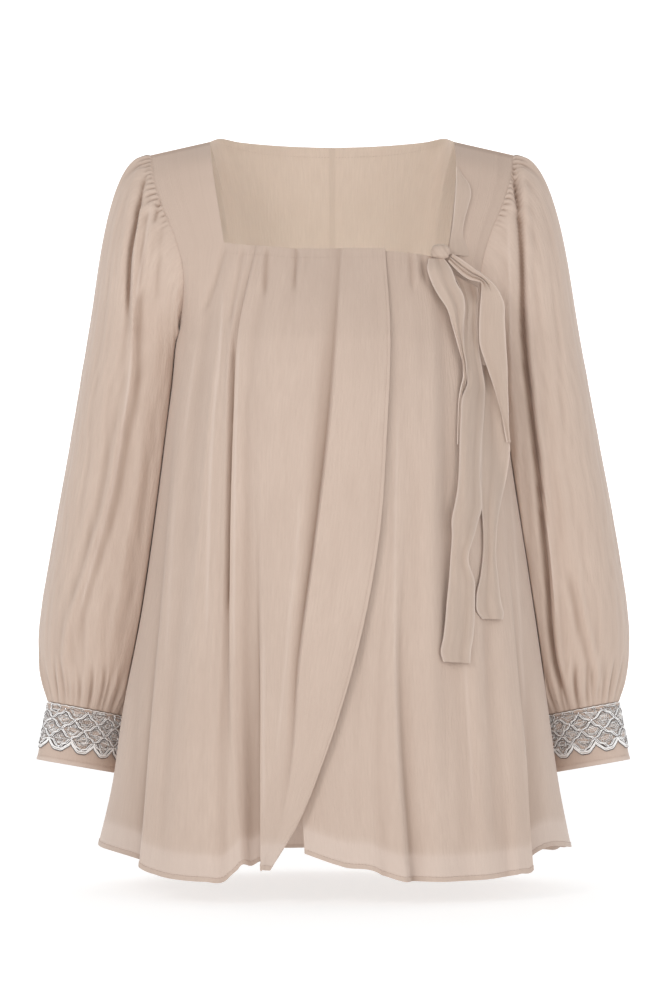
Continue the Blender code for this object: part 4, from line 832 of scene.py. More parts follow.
@dataclass(frozen=True)
class FrontPanel:
    """One front: its strap to the shoulder seam, and its pleats down to the hem."""

    name: str
    side: Side
    folds: tuple[FoldLine, ...]
    creases: tuple[Crease, ...]
    neck_edge: tuple          # rows from the shoulder seam to the neck's corner
    flat: tuple[float, float]
    area: float
    # painted shade on the strap, where it turns up
    shade: float              # how much darker the strap is, where it turns up
    spacing: float = 1.7
    strap_rows: int = 44
    rows: int = 130
    bow_edge: float = 56.0    # the left neckline's stitches start beyond this x

    def means(self) -> Array:
        """The fold lines' places across, half way down."""
        seam = {Side.RIGHT: -200.0, Side.LEFT: 212.0}[self.side]
        return np.array([seam if line.across is None else float(np.mean(line.across[3:5]))
                         for line in self.folds])

    def drops(self) -> Array:
        """The drops of the fold lines at the neck, and at the hem."""
        return np.array([(line.neck_drop, line.hem_drop) for line in self.folds]).T

    def columns(self) -> Pair:
        """For each column: the fold line before it, and the share of the way to the next."""
        return spread_columns([max(3, round(gap / self.spacing)) for gap in np.diff(self.means())])

    def corner(self) -> int:
        """The column at the neck's corner, where the strap starts."""
        before, share = self.columns()
        names = [line.name for line in self.folds]
        return int(np.nonzero((before == names.index("corner")) & (share == 0))[0][0])

    def levels(self) -> Array:
        """Levels of the rows, closer together at the hem's turned edge."""
        hem = 1 - HEM_DEPTH / PANEL
        upper = np.linspace(0.0, hem, self.rows)
        return np.concatenate([upper, [hem + 0.0006, hem + 0.0025, hem + 0.005, 1.0]])

    def read(self, level: Array, seam: float = 0.0) -> Pair:
        """Place across and lift of every fold line at its own row of levels."""
        places = np.array([line.across or (seam,) * len(LEVELS) for line in self.folds])
        lifts = np.array([line.lift for line in self.folds], dtype=float)
        return through(LEVELS, places, level), through(LEVELS, lifts, level)

    def surface(self) -> Pair:
        """Points of the pleated part and their lifts: lines blended by an eased share."""
        level = self.levels()
        neck, hem = self.drops()
        drop = neck[:, None] + (hem - neck)[:, None] * level
        x, lift = self.read(np.broadcast_to(level, drop.shape))
        on_seam = np.array([line.across is None for line in self.folds])[:, None]
        round_ = np.where(on_seam, float(self.side.value), BODY.front_turn(x, drop))
        before, share = self.columns()
        round_ = blend(round_[before], round_[before + 1], share[:, None])
        lift = blend(lift[before], lift[before + 1], ease(share)[:, None])
        lines = self.means()
        place = blend(lines[before], lines[before + 1], share)
        neck, hem = (through(lines, drops, place)[:, None] for drops in (neck, hem))
        drop = neck + (hem - neck) * level
        x = BODY.front_x(round_, drop)
        quiet = ease((1 - np.abs(round_)) / 0.08)
        for crease in self.creases:
            lift = lift + crease.lift(x, drop) * quiet
        lift = lift + self.ripple(x, drop, level) * quiet
        return BODY.front_point(round_, drop, lift).transpose(1, 0, 2), lift.T

    def ripple(self, x: Array, drop: Array, level: Array) -> Array:
        """Faint long ripples: three waves across that wander on their way down."""
        wander = 5.0 * np.sin(drop / 97.0) + 3.0 * np.sin(drop / 41.0 + 1.3)
        wave = (np.sin((x + wander) / 3.1) + np.sin((x - wander) / 4.7 + 2.0)
                + 0.8 * np.sin((x + 0.5 * wander) / 8.3 + drop / 130.0))
        patch = 0.5 + 0.5 * np.sin(x / 23.0 + drop / 61.0)
        return 0.16 * wave * patch * ease(level / 0.03)

    def strap(self, foot: Array) -> Array:
        """The strap: ruled between the neck edge and the armhole, bent into its foot."""
        drops = column(self.neck_edge, 0)
        tip = BODY.front_armhole[0][0]
        ends = (foot[0, 0], foot[-1, 0])
        x_neck, x_arm = ends if self.side is Side.LEFT else ends[::-1]
        across = ((foot[:, 0] - x_neck) / (x_arm - x_neck))[None, :, None]

        def ruled(share: Array) -> Array:
            """Straight lines from the neck edge to the armhole."""
            inner = edge_point(self.neck_edge, self.side,
                               drops[0] + (drops[-1] - drops[0]) * share)
            outer = edge_point(BODY.front_armhole, self.side, tip + (drops[-1] - tip) * share)
            return blend(inner[:, None], outer[:, None], across)

        share = np.arange(self.strap_rows) / self.strap_rows
        pull = foot[None] - ruled(np.ones(1))
        return ruled(share) + pull * (share ** 2)[:, None, None]

    def grid(self) -> tuple[Array, Array, Array]:
        """Points, faces and lifts of the whole front; no face uses the points past a strap."""
        body, lift = self.surface()
        corner, count = self.corner(), body.shape[1]
        columns = (np.arange(corner + 1) if self.side is Side.RIGHT else np.arange(corner, count))
        top = np.repeat(body[:1], self.strap_rows, axis=0)
        top[:, columns] = self.strap(body[0, columns])
        grid = np.concatenate([top, body])
        mask = np.ones((len(grid) - 1, count - 1), dtype=bool)
        mask[:self.strap_rows] = False
        mask[:self.strap_rows, columns[:-1]] = True
        lifts = np.concatenate([np.zeros((self.strap_rows, count)), lift])
        return grid, grid_quads(*grid.shape[:2], mask=mask), lifts

    def armhole(self, grid: Array, out: Array) -> Pair:
        """The panel's armhole edge from the shoulder tip to the underarm, on the +X side."""
        edge = 0 if self.side is Side.RIGHT else -1
        above = grid[:, edge, 2] > -BODY.underarm
        return grid[above, edge] * self.side.flip, out[above, edge] * self.side.flip

    def build(self, shop: Workshop) -> Pair:
        """The front and its stitches.

        Args:
            shop: the finishes.

        Returns:
            The armhole edge that the sleeve is sewn to, and its outward directions.
        """
        grid, faces, lifts = self.grid()
        points = grid.reshape(-1, 3)
        normals = point_normals(points, faces)
        skin, thickness = turned_hem(points, normals, grid.shape[1])
        used = np.unique(faces)
        number = np.full(len(points), -1)
        number[used] = np.arange(len(used))
        # The hollow mark: painted shade where the cloth lies below its neighbours, and on the
        # strap where it turns up; the turned hem and the shoulder seam are darker too.
        hollow = cavity(lifts, ((2, 4.0), (9, 15.0)))
        hollow[-HEM_ROWS:] += HEM_SHADE
        hollow[:2] += 0.30
        row = np.arange(len(grid))[:, None]
        hollow += self.shade * (1 - ease((row - self.strap_rows) / 30.0))
        # The hem mark: painted light on the single layer above the hem, and painted highlights on
        # the creases' crests.
        hem = sheer_hem(grid) + crests(self.creases, grid)
        piece = shop.cloth(self.name, skin[used], number[faces], weave_of(grid)[used],
                           {"hollow": hollow.ravel()[used], "hem": hem.ravel()[used]},
                           thickness[used])
        out = normals.reshape(grid.shape)
        seams = shop.add(self.name + "_stitches", joined(self.stitches(grid, out)),
                         shop.thread, "chiffon")
        return self.armhole(grid, out)

    def stitches(self, grid: Array, out: Array) -> list:
        """Rows of stitches above the hem, inside the neckline and along the free edge."""
        right, first, corner = self.side is Side.RIGHT, self.strap_rows, self.corner()
        neck = np.arange(corner, grid.shape[1]) if right else np.arange(corner)
        if not right:
            neck = neck[grid[first, neck, 0] > self.bow_edge]
        rows = [sewn(grid, out, -5, np.s_[::2]), sewn(grid, out, first + 2, neck),
                sewn(grid, out, np.s_[1:first + 22], 1 if right else -2, 0.1)]
        if right:
            rows.append(sewn(grid, out, np.s_[first + 4:-5], -3))
        return rows

    def lift_at(self, x: Array, drop: Array) -> Array:
        """How far the panel stands out of the plain body at given places."""
        beyond = 400.0        # an x that the side seam never reaches
        neck, hem = self.drops()
        level = np.clip((drop[None, :] - neck[:, None]) / (hem - neck)[:, None], 0.0, 1.0)
        lines_x, lifts = self.read(level, beyond)
        before = np.clip((x[None, :] >= lines_x).sum(axis=0) - 1, 0, len(neck) - 2)
        pick = np.arange(len(x))
        start, end = lines_x[before, pick], lines_x[before + 1, pick]
        return blend(lifts[before, pick], lifts[before + 1, pick],
                     ease((x - start) / (end - start)))

    def in_front(self, x: Array, drop: Array, stand: Array) -> Array:
        """Points straight in front of the panel, kept forward where its side turns away."""
        hang_depth, softness, flattest = 62.0, 4.0, 0.6
        round_ = BODY.front_turn(x, drop)
        plain = BODY.front_point(round_, drop, np.zeros_like(x))
        raised = BODY.front_point(round_, drop, np.ones_like(x))
        slope = np.maximum(plain[..., 1] - raised[..., 1], flattest)
        lifted = np.maximum(self.lift_at(x.ravel(), drop.ravel()).reshape(x.shape), 0.0)
        depth = -plain[..., 1] + lifted / slope
        depth = softness * np.logaddexp(depth / softness, hang_depth / softness)
        return np.stack([x, -depth - stand / slope, -drop], axis=-1)


# ---- the backs
@dataclass(frozen=True)
class Flute:
    """A line that a fold of the back follows from the underarm to the hem."""

    turn_top: float
    turn_hem: float
    hem_drop: float
    lift: tuple[float, ...]


@dataclass(frozen=True)
class BackPanel:
    """Half of the back, from its centre seam to its side seam."""

    side: Side
    scale: float
    drift: float
    side_hem: float
    flat: tuple[float, float] = (0.34, 0.76)
    area: float = 0.215
    top_rows: int = 70
    skirt_rows: int = 112
    spacing: float = 3.0
    rise: float = 9.0
    neck: tuple = (
        # turn (0 centre back, 1 side seam), out, backward, drop of the neck edge
        (0, 0, 60, 6), (0.15, 34, 57, 5.4), (0.30, 68, 48.5, 4.2), (0.42, 97, 34, 2.6),
        (0.50, 116, 14, 1.2), (0.55, 124.5, -12, 7),
    )
    centre: tuple = (        # out, backward and height of a curve's four controls
        (0, 60, -6), (0, 90, -46), (0, 121, -135), (0, 118, -210),
    )
    levels: tuple = (0, 0.25, 0.5, 0.75, 1)
    flutes: tuple[Flute, ...] = (
        Flute(0, 0, 742, (0, 0, 0, 1, 1)), Flute(0.13, 0.12, 743, (0, 1, 3, 5, 7)),
        Flute(0.26, 0.25, 739, (0, -1, -2, -4, -6)), Flute(0.42, 0.42, 741, (0, 1, 4, 7, 10)),
        Flute(0.55, 0.56, 736, (0, 0, -2, -4, -5)), Flute(0.70, 0.70, 735, (0, 1, 3, 5, 7)),
        Flute(0.85, 0.86, 728, (0, 0, -1, -2, -3)), Flute(1, 1, 720, (0, 0, 0, 0, 0)),
    )

    def grid(self) -> Pair:
        """Points and lifts: over the shoulder down to the underarm, then rings with flutes."""
        turn_tops, turn_hems, hems = np.array(
            [(flute.turn_top, flute.turn_hem, flute.hem_drop) for flute in self.flutes]).T
        turn_hems = turn_hems + self.drift * np.sin(math.pi * turn_tops)
        hems[-1] = self.side_hem
        before, share = spread_columns([max(4, round(gap * BACK_HALF / self.spacing))
                                        for gap in np.diff(turn_tops)])
        soft = ease(share)

        def across(values: Array, part: Array) -> Array:
            """A value of the flute lines at each column."""
            return blend(values[before], values[before + 1], part)

        turn_top, turn_hem = across(turn_tops, share), across(turn_hems, share)
        sheet = self.yoke(turn_top)
        hem_level = 1 - HEM_DEPTH / SKIRT
        levels = np.concatenate([np.linspace(0, hem_level, self.skirt_rows)[1:],
                                 [hem_level + 0.0006, hem_level + 0.003, 1 - 0.002, 1.0]])
        turn = blend(turn_top, turn_hem, ease(levels)[:, None])
        drop = BODY.underarm + (across(hems, soft) - BODY.underarm) * levels[:, None]
        lifts = np.array([flute.lift for flute in self.flutes], dtype=float) * self.scale
        read = through(self.levels, lifts, np.broadcast_to(levels, (len(lifts), len(levels))))
        lift = across(read, soft[:, None]).T
        lift = lift + self.ripple(turn, drop) * ease((1 - turn_top) / 0.08) * ease(turn / 0.06)
        skirt = BODY.back_point(self.side.value * turn, drop, lift)
        sheet[..., 0] *= self.side.value
        lifts = np.concatenate([np.zeros(sheet.shape[:2]), lift])
        return np.concatenate([sheet, skirt]), lifts

    def yoke(self, turn_top: Array) -> Array:
        """The top: for each row an arc from the centre to the armhole, drawn to the neck."""
        neck_turn = self.neck[-1][0]
        on_neck = np.minimum(turn_top, neck_turn)
        top = np.stack([curve(self.neck, k, on_neck) for k in (1, 2, 3)], axis=-1)
        top = top * (1.0, 1.0, -1.0)
        on_seam = np.clip((turn_top - neck_turn) / (1 - neck_turn), 0, 1)[:, None]
        drop, out, back, _ = BODY.back_armhole_rows[0]
        top = blend(top, np.array([out, back, -drop]), on_seam)
        rows = np.arange(self.top_rows + 1) / self.top_rows
        v = rows[:, None]
        centre = bezier(*np.array(self.centre), v)[:, None, :]
        edge, turn = BODY.back_armhole(rows)
        edge, turn = edge[:, None, :], turn[:, None]
        phi = turn_top[None, :] * turn
        deep = (np.cos(phi) - np.cos(turn)) / (1 - np.cos(turn))
        sheet = edge + (centre - edge) * deep[..., None]
        sheet[..., 0] = edge[..., 0] * np.sin(phi) / np.sin(turn)
        sheet = sheet + (top - sheet[0]) * ((1 - v) ** 2)[..., None]
        over = ease((turn_top - 0.25) / 0.3) * ease((1 - turn_top) / 0.32)
        sheet[..., 2] += self.rise * over * 6.75 * v * (1 - v) ** 2
        return sheet

    def ripple(self, turn: Array, drop: Array) -> Array:
        """Faint long ripples that wander on their way down."""
        x = turn * BACK_HALF + 40.0 * self.drift
        wander = 6.0 * np.sin(drop / 88.0) + 3.0 * np.sin(drop / 37.0)
        wave = (np.sin((x + wander) / 3.6) + np.sin((x - wander) / 5.9 + 1.0)
                + 1.5 * np.sin((x + wander) / 15.0))
        return 0.2 * wave * ease((drop - BODY.underarm) / 90.0)

    def build(self, shop: Workshop) -> Pair:
        """The half back and its hem's stitches; returns its armhole edge as a front does."""
        grid, lifts = self.grid()
        points = grid.reshape(-1, 3)
        faces = self.side.outward(grid_quads(*grid.shape[:2]))
        normals = point_normals(points, faces)
        skin, thickness = turned_hem(points, normals, grid.shape[1])
        # The hollow mark: painted shade where the cloth lies below its neighbours; the turned hem
        # and the top of the centre seam are darker too. The hem mark is painted light on the
        # single layer above the hem.
        hollow = cavity(lifts, ((3, 6.0), (9, 11.0)))
        hollow[-HEM_ROWS:] += HEM_SHADE
        hollow[:self.top_rows, :2] += 0.16
        name = "back_" + self.side.name.lower()
        piece = shop.cloth(name, skin, faces, weave_of(grid),
                           {"hollow": hollow, "hem": sheer_hem(grid)}, thickness)
        out = normals.reshape(grid.shape)
        half = np.arange(int(grid.shape[1] * 0.5))
        rows = [sewn(grid, out, -5, np.s_[::2]), sewn(grid, -out, 5, half, 0.75)]
        seams = shop.add(name + "_stitches", joined(rows), shop.thread, "chiffon")
        edge = np.s_[:self.top_rows + 1, -1]
        return grid[edge] * self.side.flip, out[edge] * self.side.flip


# ---- sleeves
@dataclass(frozen=True)
class ArmCrease(Crease):
    """A crease down a sleeve, on its front or behind it; x is counted outward."""

    behind: bool = False


def arm_creases(front: tuple, behind: tuple) -> tuple[ArmCrease, ...]:
    """The creases on a sleeve's front and behind it, from their rows."""
    return (tuple(ArmCrease(*row) for row in front)
            + tuple(ArmCrease(*row, behind=True) for row in behind))


SLEEVE_CREASES = {
    Side.RIGHT: arm_creases((
        (((190, 60), (196, 120), (201, 198), (207, 269), (217, 310), (223, 351), (247, 434),
         (267, 498), (272, 533), (271, 569)), 3, 4.2, 50),
        (((201, 205), (204, 240), (212, 300), (222, 360), (242, 434), (260, 498)),
         0.4, 1.3, 40, 0.34),
        (((181, 62), (186, 100), (194, 145), (203, 200)), 0.4, 1.4, 30, 0.24),
        (((187, 24), (195, 66), (200, 98), (204, 121), (206, 150), (207, 192)), -6.5, 2.7, 44),
        (((190, 66), (195, 98), (198.5, 125), (200, 160), (201, 215)), 2.6, 2, 20),
        (((194, 24), (203, 66), (208, 98), (212, 125), (214, 160)), 1.6, 3.6, 24),
        (((220, 215), (225, 290), (236, 360), (255, 440), (272, 500)), -1.6, 7, 50),
        (((193, 60), (194, 198), (198, 269), (208, 315), (214, 356), (237, 440), (256, 505),
         (262, 560)), -1.5, 4.5, 40),
        (((177, 62), (185, 117), (195, 173)), 2.2, 3.2, 18),
        (((174, 66), (180, 96)), -2.8, 2.6, 8),
        (((169, 72), (173, 120), (176, 180)), -1.4, 4, 20),
        (((222, 60), (228, 110), (232, 168), (243, 290), (262, 420)), -1.3, 7),
        (((176, 240), (184, 330), (199, 440), (215, 540)), -1.4, 6),
        (((187, 250), (196, 340), (214, 450), (232, 560)), 1.3, 5),
        (((250, 470), (252, 520), (254, 572)), -1.3, 4, 40),
    ), (
        (((202, 90), (216, 250), (240, 420), (262, 566)), -4, 7),
        (((211, 90), (226, 250), (250, 420), (271, 566)), 2.6, 6),
        (((184, 120), (190, 250), (206, 400), (228, 560)), -2.8, 6),
    )),
    Side.LEFT: arm_creases((
        (((186, 26), (191, 117), (193, 198), (202, 290), (208, 340), (212, 391), (217, 442),
         (220, 493), (225, 533), (236, 575)), -7, 3.6, 26),
        (((192, 26), (197, 117), (199, 198), (208, 290), (214, 340), (218, 391), (223, 442),
         (226, 493), (231, 533), (241, 575)), 2.4, 4, 26),
        (((184, 20), (186, 40), (187, 66)), -3.5, 3, 8),
        (((195, 80), (197, 198), (206, 290), (212, 340), (217, 391), (222, 442), (226, 493)),
         0.4, 1.2, 60, 0.26),
        (((176, 70), (178, 120), (180, 200), (184, 290)), 0.4, 1.2, 50, 0.18),
        (((179, 40), (180, 100), (181, 200), (186, 300), (196, 430)), 1.5, 5, 30),
        (((247, 430), (257, 493), (267, 533), (274, 572)), 2, 4, 30),
        (((238, 430), (248, 493), (259, 533), (267, 572)), -1.5, 4.5, 30),
        (((212, 50), (222, 130), (229, 220), (236, 330)), -1.2, 6),
        (((226, 300), (236, 380), (243, 470)), 1.2, 6),
        (((210, 430), (212, 500), (222, 570)), -1.3, 4, 40),
    ), (
        (((204, 90), (219, 250), (246, 420), (266, 566)), -3.6, 7),
        (((214, 90), (229, 250), (256, 420), (275, 566)), 2.4, 6),
        (((186, 120), (194, 250), (212, 400), (233, 560)), -2.6, 6),
    )),
}
CUFF_RING = (1.00, 290.3, 578.0, 213.0, 596.0, 27, 66, 30)


@dataclass(frozen=True)
class Sleeve:
    """A full sleeve, gathered into the armhole and into the cuff."""

    side: Side
    spread: Triple                             # head, elbow and cuff, further out
    columns: int = 280
    head_rows: int = 46
    arm_rows: int = 84
    clearance: float = 0.5
    flute_room: float = 8.8                    # for the back's outer flute, at the hem
    squareness: float = 0.80                   # below 1 the rings are fuller than ovals
    seam: float = 0.12
    waves: int = 22
    head_gather: Triple = (1.3, 80.0, 0.40)
    cuff_gather: Triple = (1.5, 0.86, 0.96)
    flat: tuple[float, float] = (0.40, 0.64)
    area: float = 0.225
    rings: tuple = (
        # along, outer x, outer drop, inner x, inner drop, outer y, inner y, half depth
        (0.00, 248.5, 205, 152, 238, 12, 34, 56),
        (0.25, 265, 300, 158, 328, 18, 40, 60),
        (0.52, 283, 400, 170, 426, 22, 46, 62),
        (0.74, 295.5, 480, 182, 503, 24, 55, 62),
        (0.85, 299, 518, 191, 539, 25, 60, 60),
        (0.93, 297, 547, 201, 567, 26, 64, 53),
        CUFF_RING,
    )

    def angles(self) -> Array:
        """Angles round the arm: 0 outside, 90 degrees in front, 180 underarm."""
        return np.arange(self.columns) * 2 * math.pi / self.columns

    def ring(self, station: float) -> tuple[Array, Array, Array]:
        """Centre, half width and half depth of the ring at a station."""
        read = [float(curve(self.rings, k, station)) for k in range(1, 8)]
        spread = float(through((0.0, 0.5, 1.0), self.spread, station))
        return oval(read, spread)

    def armhole(self, angle: Array, edges: dict[str, Pair]) -> Array:
        """Where the sleeve starts: a seam off the two panels, in the middle of their cloth."""
        share = np.where(angle <= math.pi, angle, 2 * math.pi - angle) / math.pi
        read = {}
        for label, turned in (("front", 1.0), ("back", -1.0)):
            points, normals = edges[label]
            off = unit(np.cross(normals, np.gradient(points, axis=0))) * turned
            line = points + off * self.seam - normals * SHELL / 2
            run = run_of(points)
            read[label] = np.stack([np.interp(share * run[-1], run, values)
                                    for values in line.T], axis=-1)
        return np.where((angle <= math.pi)[:, None], read["front"], read["back"])

    def lift(self, angle: Array, station: float, head: float, ring: Array) -> Array:
        """Gathers at the head and the cuff, and the long folds between, at one station."""
        degrees = (np.degrees(angle) + 180) % 360 - 180
        lift = self.gathers(angle, degrees, station, head)
        ahead, far = ease(np.sin(angle) / 0.25), ease(-np.sin(angle) / 0.25)
        for crease in SLEEVE_CREASES[self.side]:
            lift = lift + crease.lift(ring[:, 0], -ring[:, 2]) * (far if crease.behind else ahead)
        wander = 0.10 * math.sin(station * 9.0) + 0.05 * math.sin(station * 23.0 + head * 4)
        ripple = np.sin((angle + wander) * 31) + np.sin((angle - wander) * 19 + 1.0)
        return lift + 0.16 * ripple * ease((head + station) / 0.2)

    def gathers(self, angle: Array, degrees: Array, station: float, head: float) -> Array:
        """Waves where the cloth is drawn up: wide ones, and finer ones close to the seam."""
        number = angle * self.waves / math.pi
        crest = np.cos(number * math.pi)
        uneven = 0.75 + 0.25 * np.sin(number * 2.4)
        height, reach, fade = self.head_gather
        near_top = ease((reach - np.abs(degrees)) / 25.0)
        lift = height * crest * uneven * near_top * ease(head / 0.12) * (1 - ease(head / fade))
        puckers = np.abs(np.sin(angle * 40 + 1.5 * np.sin(angle * 4))) - 0.5
        length = 0.13 + 0.05 * np.sin(angle * 11)
        lift = lift + 2.6 * puckers * near_top * ease(head / 0.02) * (1 - ease(head / length))
        height, starts, full = self.cuff_gather
        rise = ease((station - starts) / (full - starts))
        settle = 1 - 0.75 * ease((station - full) / 0.05)
        lift = lift + height * crest * uneven * rise * settle
        for waves, size, spread, shift in ((33, 1.5, 0.05, 0.4), (47, 1.3, 0.03, 2.0)):
            begins = 0.89 + spread * np.sin(angle * 7.0 + shift + self.side.value)
            sharp = 0.5 - np.abs(np.sin(angle * waves / 2 + 1.2 * np.sin(angle * 3 + shift)))
            lift = lift + size * sharp * ease((station - begins) / 0.07) * settle
        return lift

    def clear_of_body(self, points: Array) -> Array:
        """Points of a +X sleeve pushed out of the body's side and the back's outer flute."""
        drop = -points[..., 2]
        deep = np.where(points[..., 1] > 0, BODY.ring(4, drop), BODY.ring(3, drop))
        ratio = np.clip(points[..., 1] / deep, -1, 1)
        growth = 0.4 * ease((drop - 350) / 300)
        turn = np.arccos(np.clip(ratio, 0, 1)) * 2 / math.pi
        level = np.clip((drop - BODY.underarm) / SKIRT, 0, 1)
        flute = self.flute_room * level ** 1.2 * ease((0.88 - turn) / 0.16)
        width = BODY.ring(1 if self.side is Side.RIGHT else 2, drop)
        edge = width * np.sqrt(1 - ratio ** 2) + self.clearance + growth + flute
        softness = 1.6
        pushed = softness * np.logaddexp(edge / softness, points[..., 0] / softness)
        row = np.arange(1, len(points) + 1)[:, None]
        below = ease((drop - BODY.underarm + 10.0) / 10.0) * ease(row / 12.0)
        moved = points.copy()
        moved[..., 0] += (pushed - points[..., 0]) * below
        return moved

    def squared(self, share: Array, station: float) -> Array:
        """A cosine or sine drawn to the corners of its box; plain where the cuff is near."""
        rounding = float(ease((station - 0.72) / 0.24))
        power = self.squareness + (1 - self.squareness) * rounding
        return (np.sign(share) * np.abs(share) ** power)[:, None]

    def grid(self, edges: dict[str, Pair]) -> Pair:
        """Rows from armhole to cuff on the +X side, a swept head then rings, and their lifts."""
        angle = self.angles()
        cos, sin = np.cos(angle), np.sin(angle)
        start = self.armhole(angle, edges)
        leave = unit(np.stack([0.80 + 0.20 * cos, -0.22 * sin, -0.45 + 0.5 * cos], axis=-1))
        leave = leave * (30 + 16 * cos)[:, None]
        centre, wide, deep = self.ring(0.0)
        across, forward = self.squared(cos, 0.0), self.squared(sin, 0.0)
        end = centre + across * wide + forward * deep
        arrive = np.array([-0.17, 0.0, 0.98]) * (41.5 + 33.5 * cos)[:, None]
        rows, lifts = [], []
        for v in np.arange(self.head_rows + 1) / self.head_rows:
            ring = bezier(start, start + leave, end + arrive, end, v)
            lifts.append(self.lift(angle, 0.0, v, ring))
            out = unit(ring - ring.mean(axis=0))
            rows.append(ring + out * lifts[-1][:, None])
        for station in np.arange(1, self.arm_rows + 1) / self.arm_rows:
            centre, wide, deep = self.ring(station)
            ring = centre + self.squared(cos, station) * wide + self.squared(sin, station) * deep
            out = unit(ring - centre)
            lifts.append(self.lift(angle, station, 1.0, ring))
            rows.append(ring + out * lifts[-1][:, None])
        grid = np.stack(rows)
        grid[1:-1] = self.clear_of_body(grid[1:-1])
        return grid, np.stack(lifts)

    def build(self, shop: Workshop, edges: dict[str, Pair]) -> None:
        """The sleeve as one closed shell."""
        grid, lifts = self.grid(edges)
        # The hollow mark is painted shade where the cloth lies below its neighbours; the hem mark
        # is painted highlights on the crests, only on the sleeve's front side.
        ahead = ease((grid.mean(axis=1, keepdims=True) - grid)[..., 1] / 12.0)
        turn = np.broadcast_to(self.angles() * 0.055, grid.shape[:2])
        run = np.linspace(0, 0.64, grid.shape[0])[:, None] * np.ones(grid.shape[1])
        marks = {"hollow": cavity(lifts, ((2, 2.4), (8, 5.0)), closed=True),
                 "hem": ahead * crests(SLEEVE_CREASES[self.side], grid)}
        piece = shop.cloth("sleeve_" + self.side.name.lower(),
                           grid.reshape(-1, 3) * self.side.flip,
                           self.side.outward(grid_quads(*grid.shape[:2], closed=True)),
                           np.stack([turn, run], axis=-1).reshape(-1, 2), marks)


def oval(row: tuple, spread: float) -> tuple[Array, Array, Array]:
    """Centre, half width and half depth of a ring from its outer and inner point."""
    outer_x, outer_drop, inner_x, inner_drop, outer_y, inner_y, depth = row
    outer = np.array([outer_x + spread, outer_y, -outer_drop], dtype=float)
    inner = np.array([inner_x + spread, inner_y, -inner_drop], dtype=float)
    wide = (outer - inner) / 2
    flat = unit(np.array([wide[0], wide[1]]))
    return (outer + inner) / 2, wide, np.array([flat[1], -flat[0], 0.0]) * depth


# ---- cuffs and lace
@dataclass(frozen=True)
class Cuff:
    """A plain cuff, with the places on it that the lace is laid out on."""

    side: Side
    spread: float
    bottom: tuple = (302.0, 637.5, 223.5, 654.5, 28, 68, 30.5)
    steps: int = 20           # half diamonds of the lace round the cuff
    columns: int = 160
    rows: int = 26
    turned_from: float = 0.93     # of the way down
    stitched_at: float = 0.925
    flat: tuple[float, float] = (0.25, 0.064)

    def edges(self, steps: int) -> Pair:
        """The top and bottom edge, shared out in equal lengths from the outside."""
        made = []
        fine = np.linspace(0.0, 2 * math.pi, 721)
        for row in (CUFF_RING[1:], self.bottom):
            centre, wide, deep = oval(row, self.spread)
            pace = np.hypot(np.linalg.norm(wide) * np.sin(fine),
                            np.linalg.norm(deep) * np.cos(fine))
            length = np.concatenate(([0.0], np.cumsum((pace[1:] + pace[:-1]) / 2)))
            angle = np.interp(np.arange(steps) / steps * length[-1], length, fine)
            made.append(centre + np.cos(angle)[:, None] * wide + np.sin(angle)[:, None] * deep)
        return made[0], made[1]

    def place(self, step: Array, down: Array, out: Array) -> Pair:
        """Points on the cuff and their outward directions.

        Args:
            step: how far round, in half diamonds.
            down: 0 at the top edge, 1 at the bottom.
            out: how far off the cuff, millimetres.

        Returns:
            Points and directions, on the cuff's own side of the body.
        """
        fine = 12 * self.steps
        upper, lower = self.edges(fine)
        at = np.mod(step, self.steps) * fine / self.steps
        first = np.floor(at).astype(int) % fine
        share = (at - np.floor(at))[..., None]
        down = down[..., None]

        def between(values: Array) -> Array:
            """What lies between two neighbours of an edge."""
            return blend(values[first], values[(first + 1) % fine], share)

        top, low = between(upper), between(lower)
        tangent = unit(between(np.roll(upper, -1, axis=0) - np.roll(upper, 1, axis=0)))
        normal = unit(np.cross(low - top, tangent))
        point = blend(top, low, down)
        centre = (upper.mean(axis=0) + lower.mean(axis=0)) / 2
        normal = np.where((normal * (point - centre)).sum(-1, keepdims=True) < 0, -normal, normal)
        return ((point + normal * np.asarray(out)[..., None]) * self.side.flip,
                normal * self.side.flip)

    def build(self, shop: Workshop) -> None:
        """The band: one wall with a turned edge at the bottom."""
        step, down = np.meshgrid(np.arange(self.columns) * self.steps / self.columns,
                                 np.linspace(0.01, 1.0, self.rows))
        turned = ease((down - self.turned_from) / 0.02)
        out = 0.5 * turned - 0.25
        pucker = 0.12 * np.sin(step * 5.3 + 2 * np.sin(step)) * (1 - down) ** 2
        points, _ = self.place(step.ravel(), down.ravel(), (out + pucker).ravel())
        faces = self.side.outward(grid_quads(self.rows, self.columns, closed=True))
        weave = np.stack([step.ravel() * 0.0116, down.ravel() * 0.06], axis=-1)
        name = "cuff_" + self.side.name.lower()
        # painted highlight along the turned edge; no painted shade
        marks = {"hollow": np.zeros(len(points)), "hem": 0.3 * turned}
        piece = shop.cloth(name, points, faces, weave, marks, 2 * SHELL, shop.cuff, "cuff_cloth")
        round_ = np.arange(0, self.steps + 0.05, 0.1)
        path, out = self.place(round_, np.full(len(round_), self.stitched_at),
                               np.full(len(round_), -0.1))
        seams = shop.add(name + "_stitches", StitchLine(2.4, 1.7, 0.14).build(path, out),
                         shop.thread, "cuff_cloth")


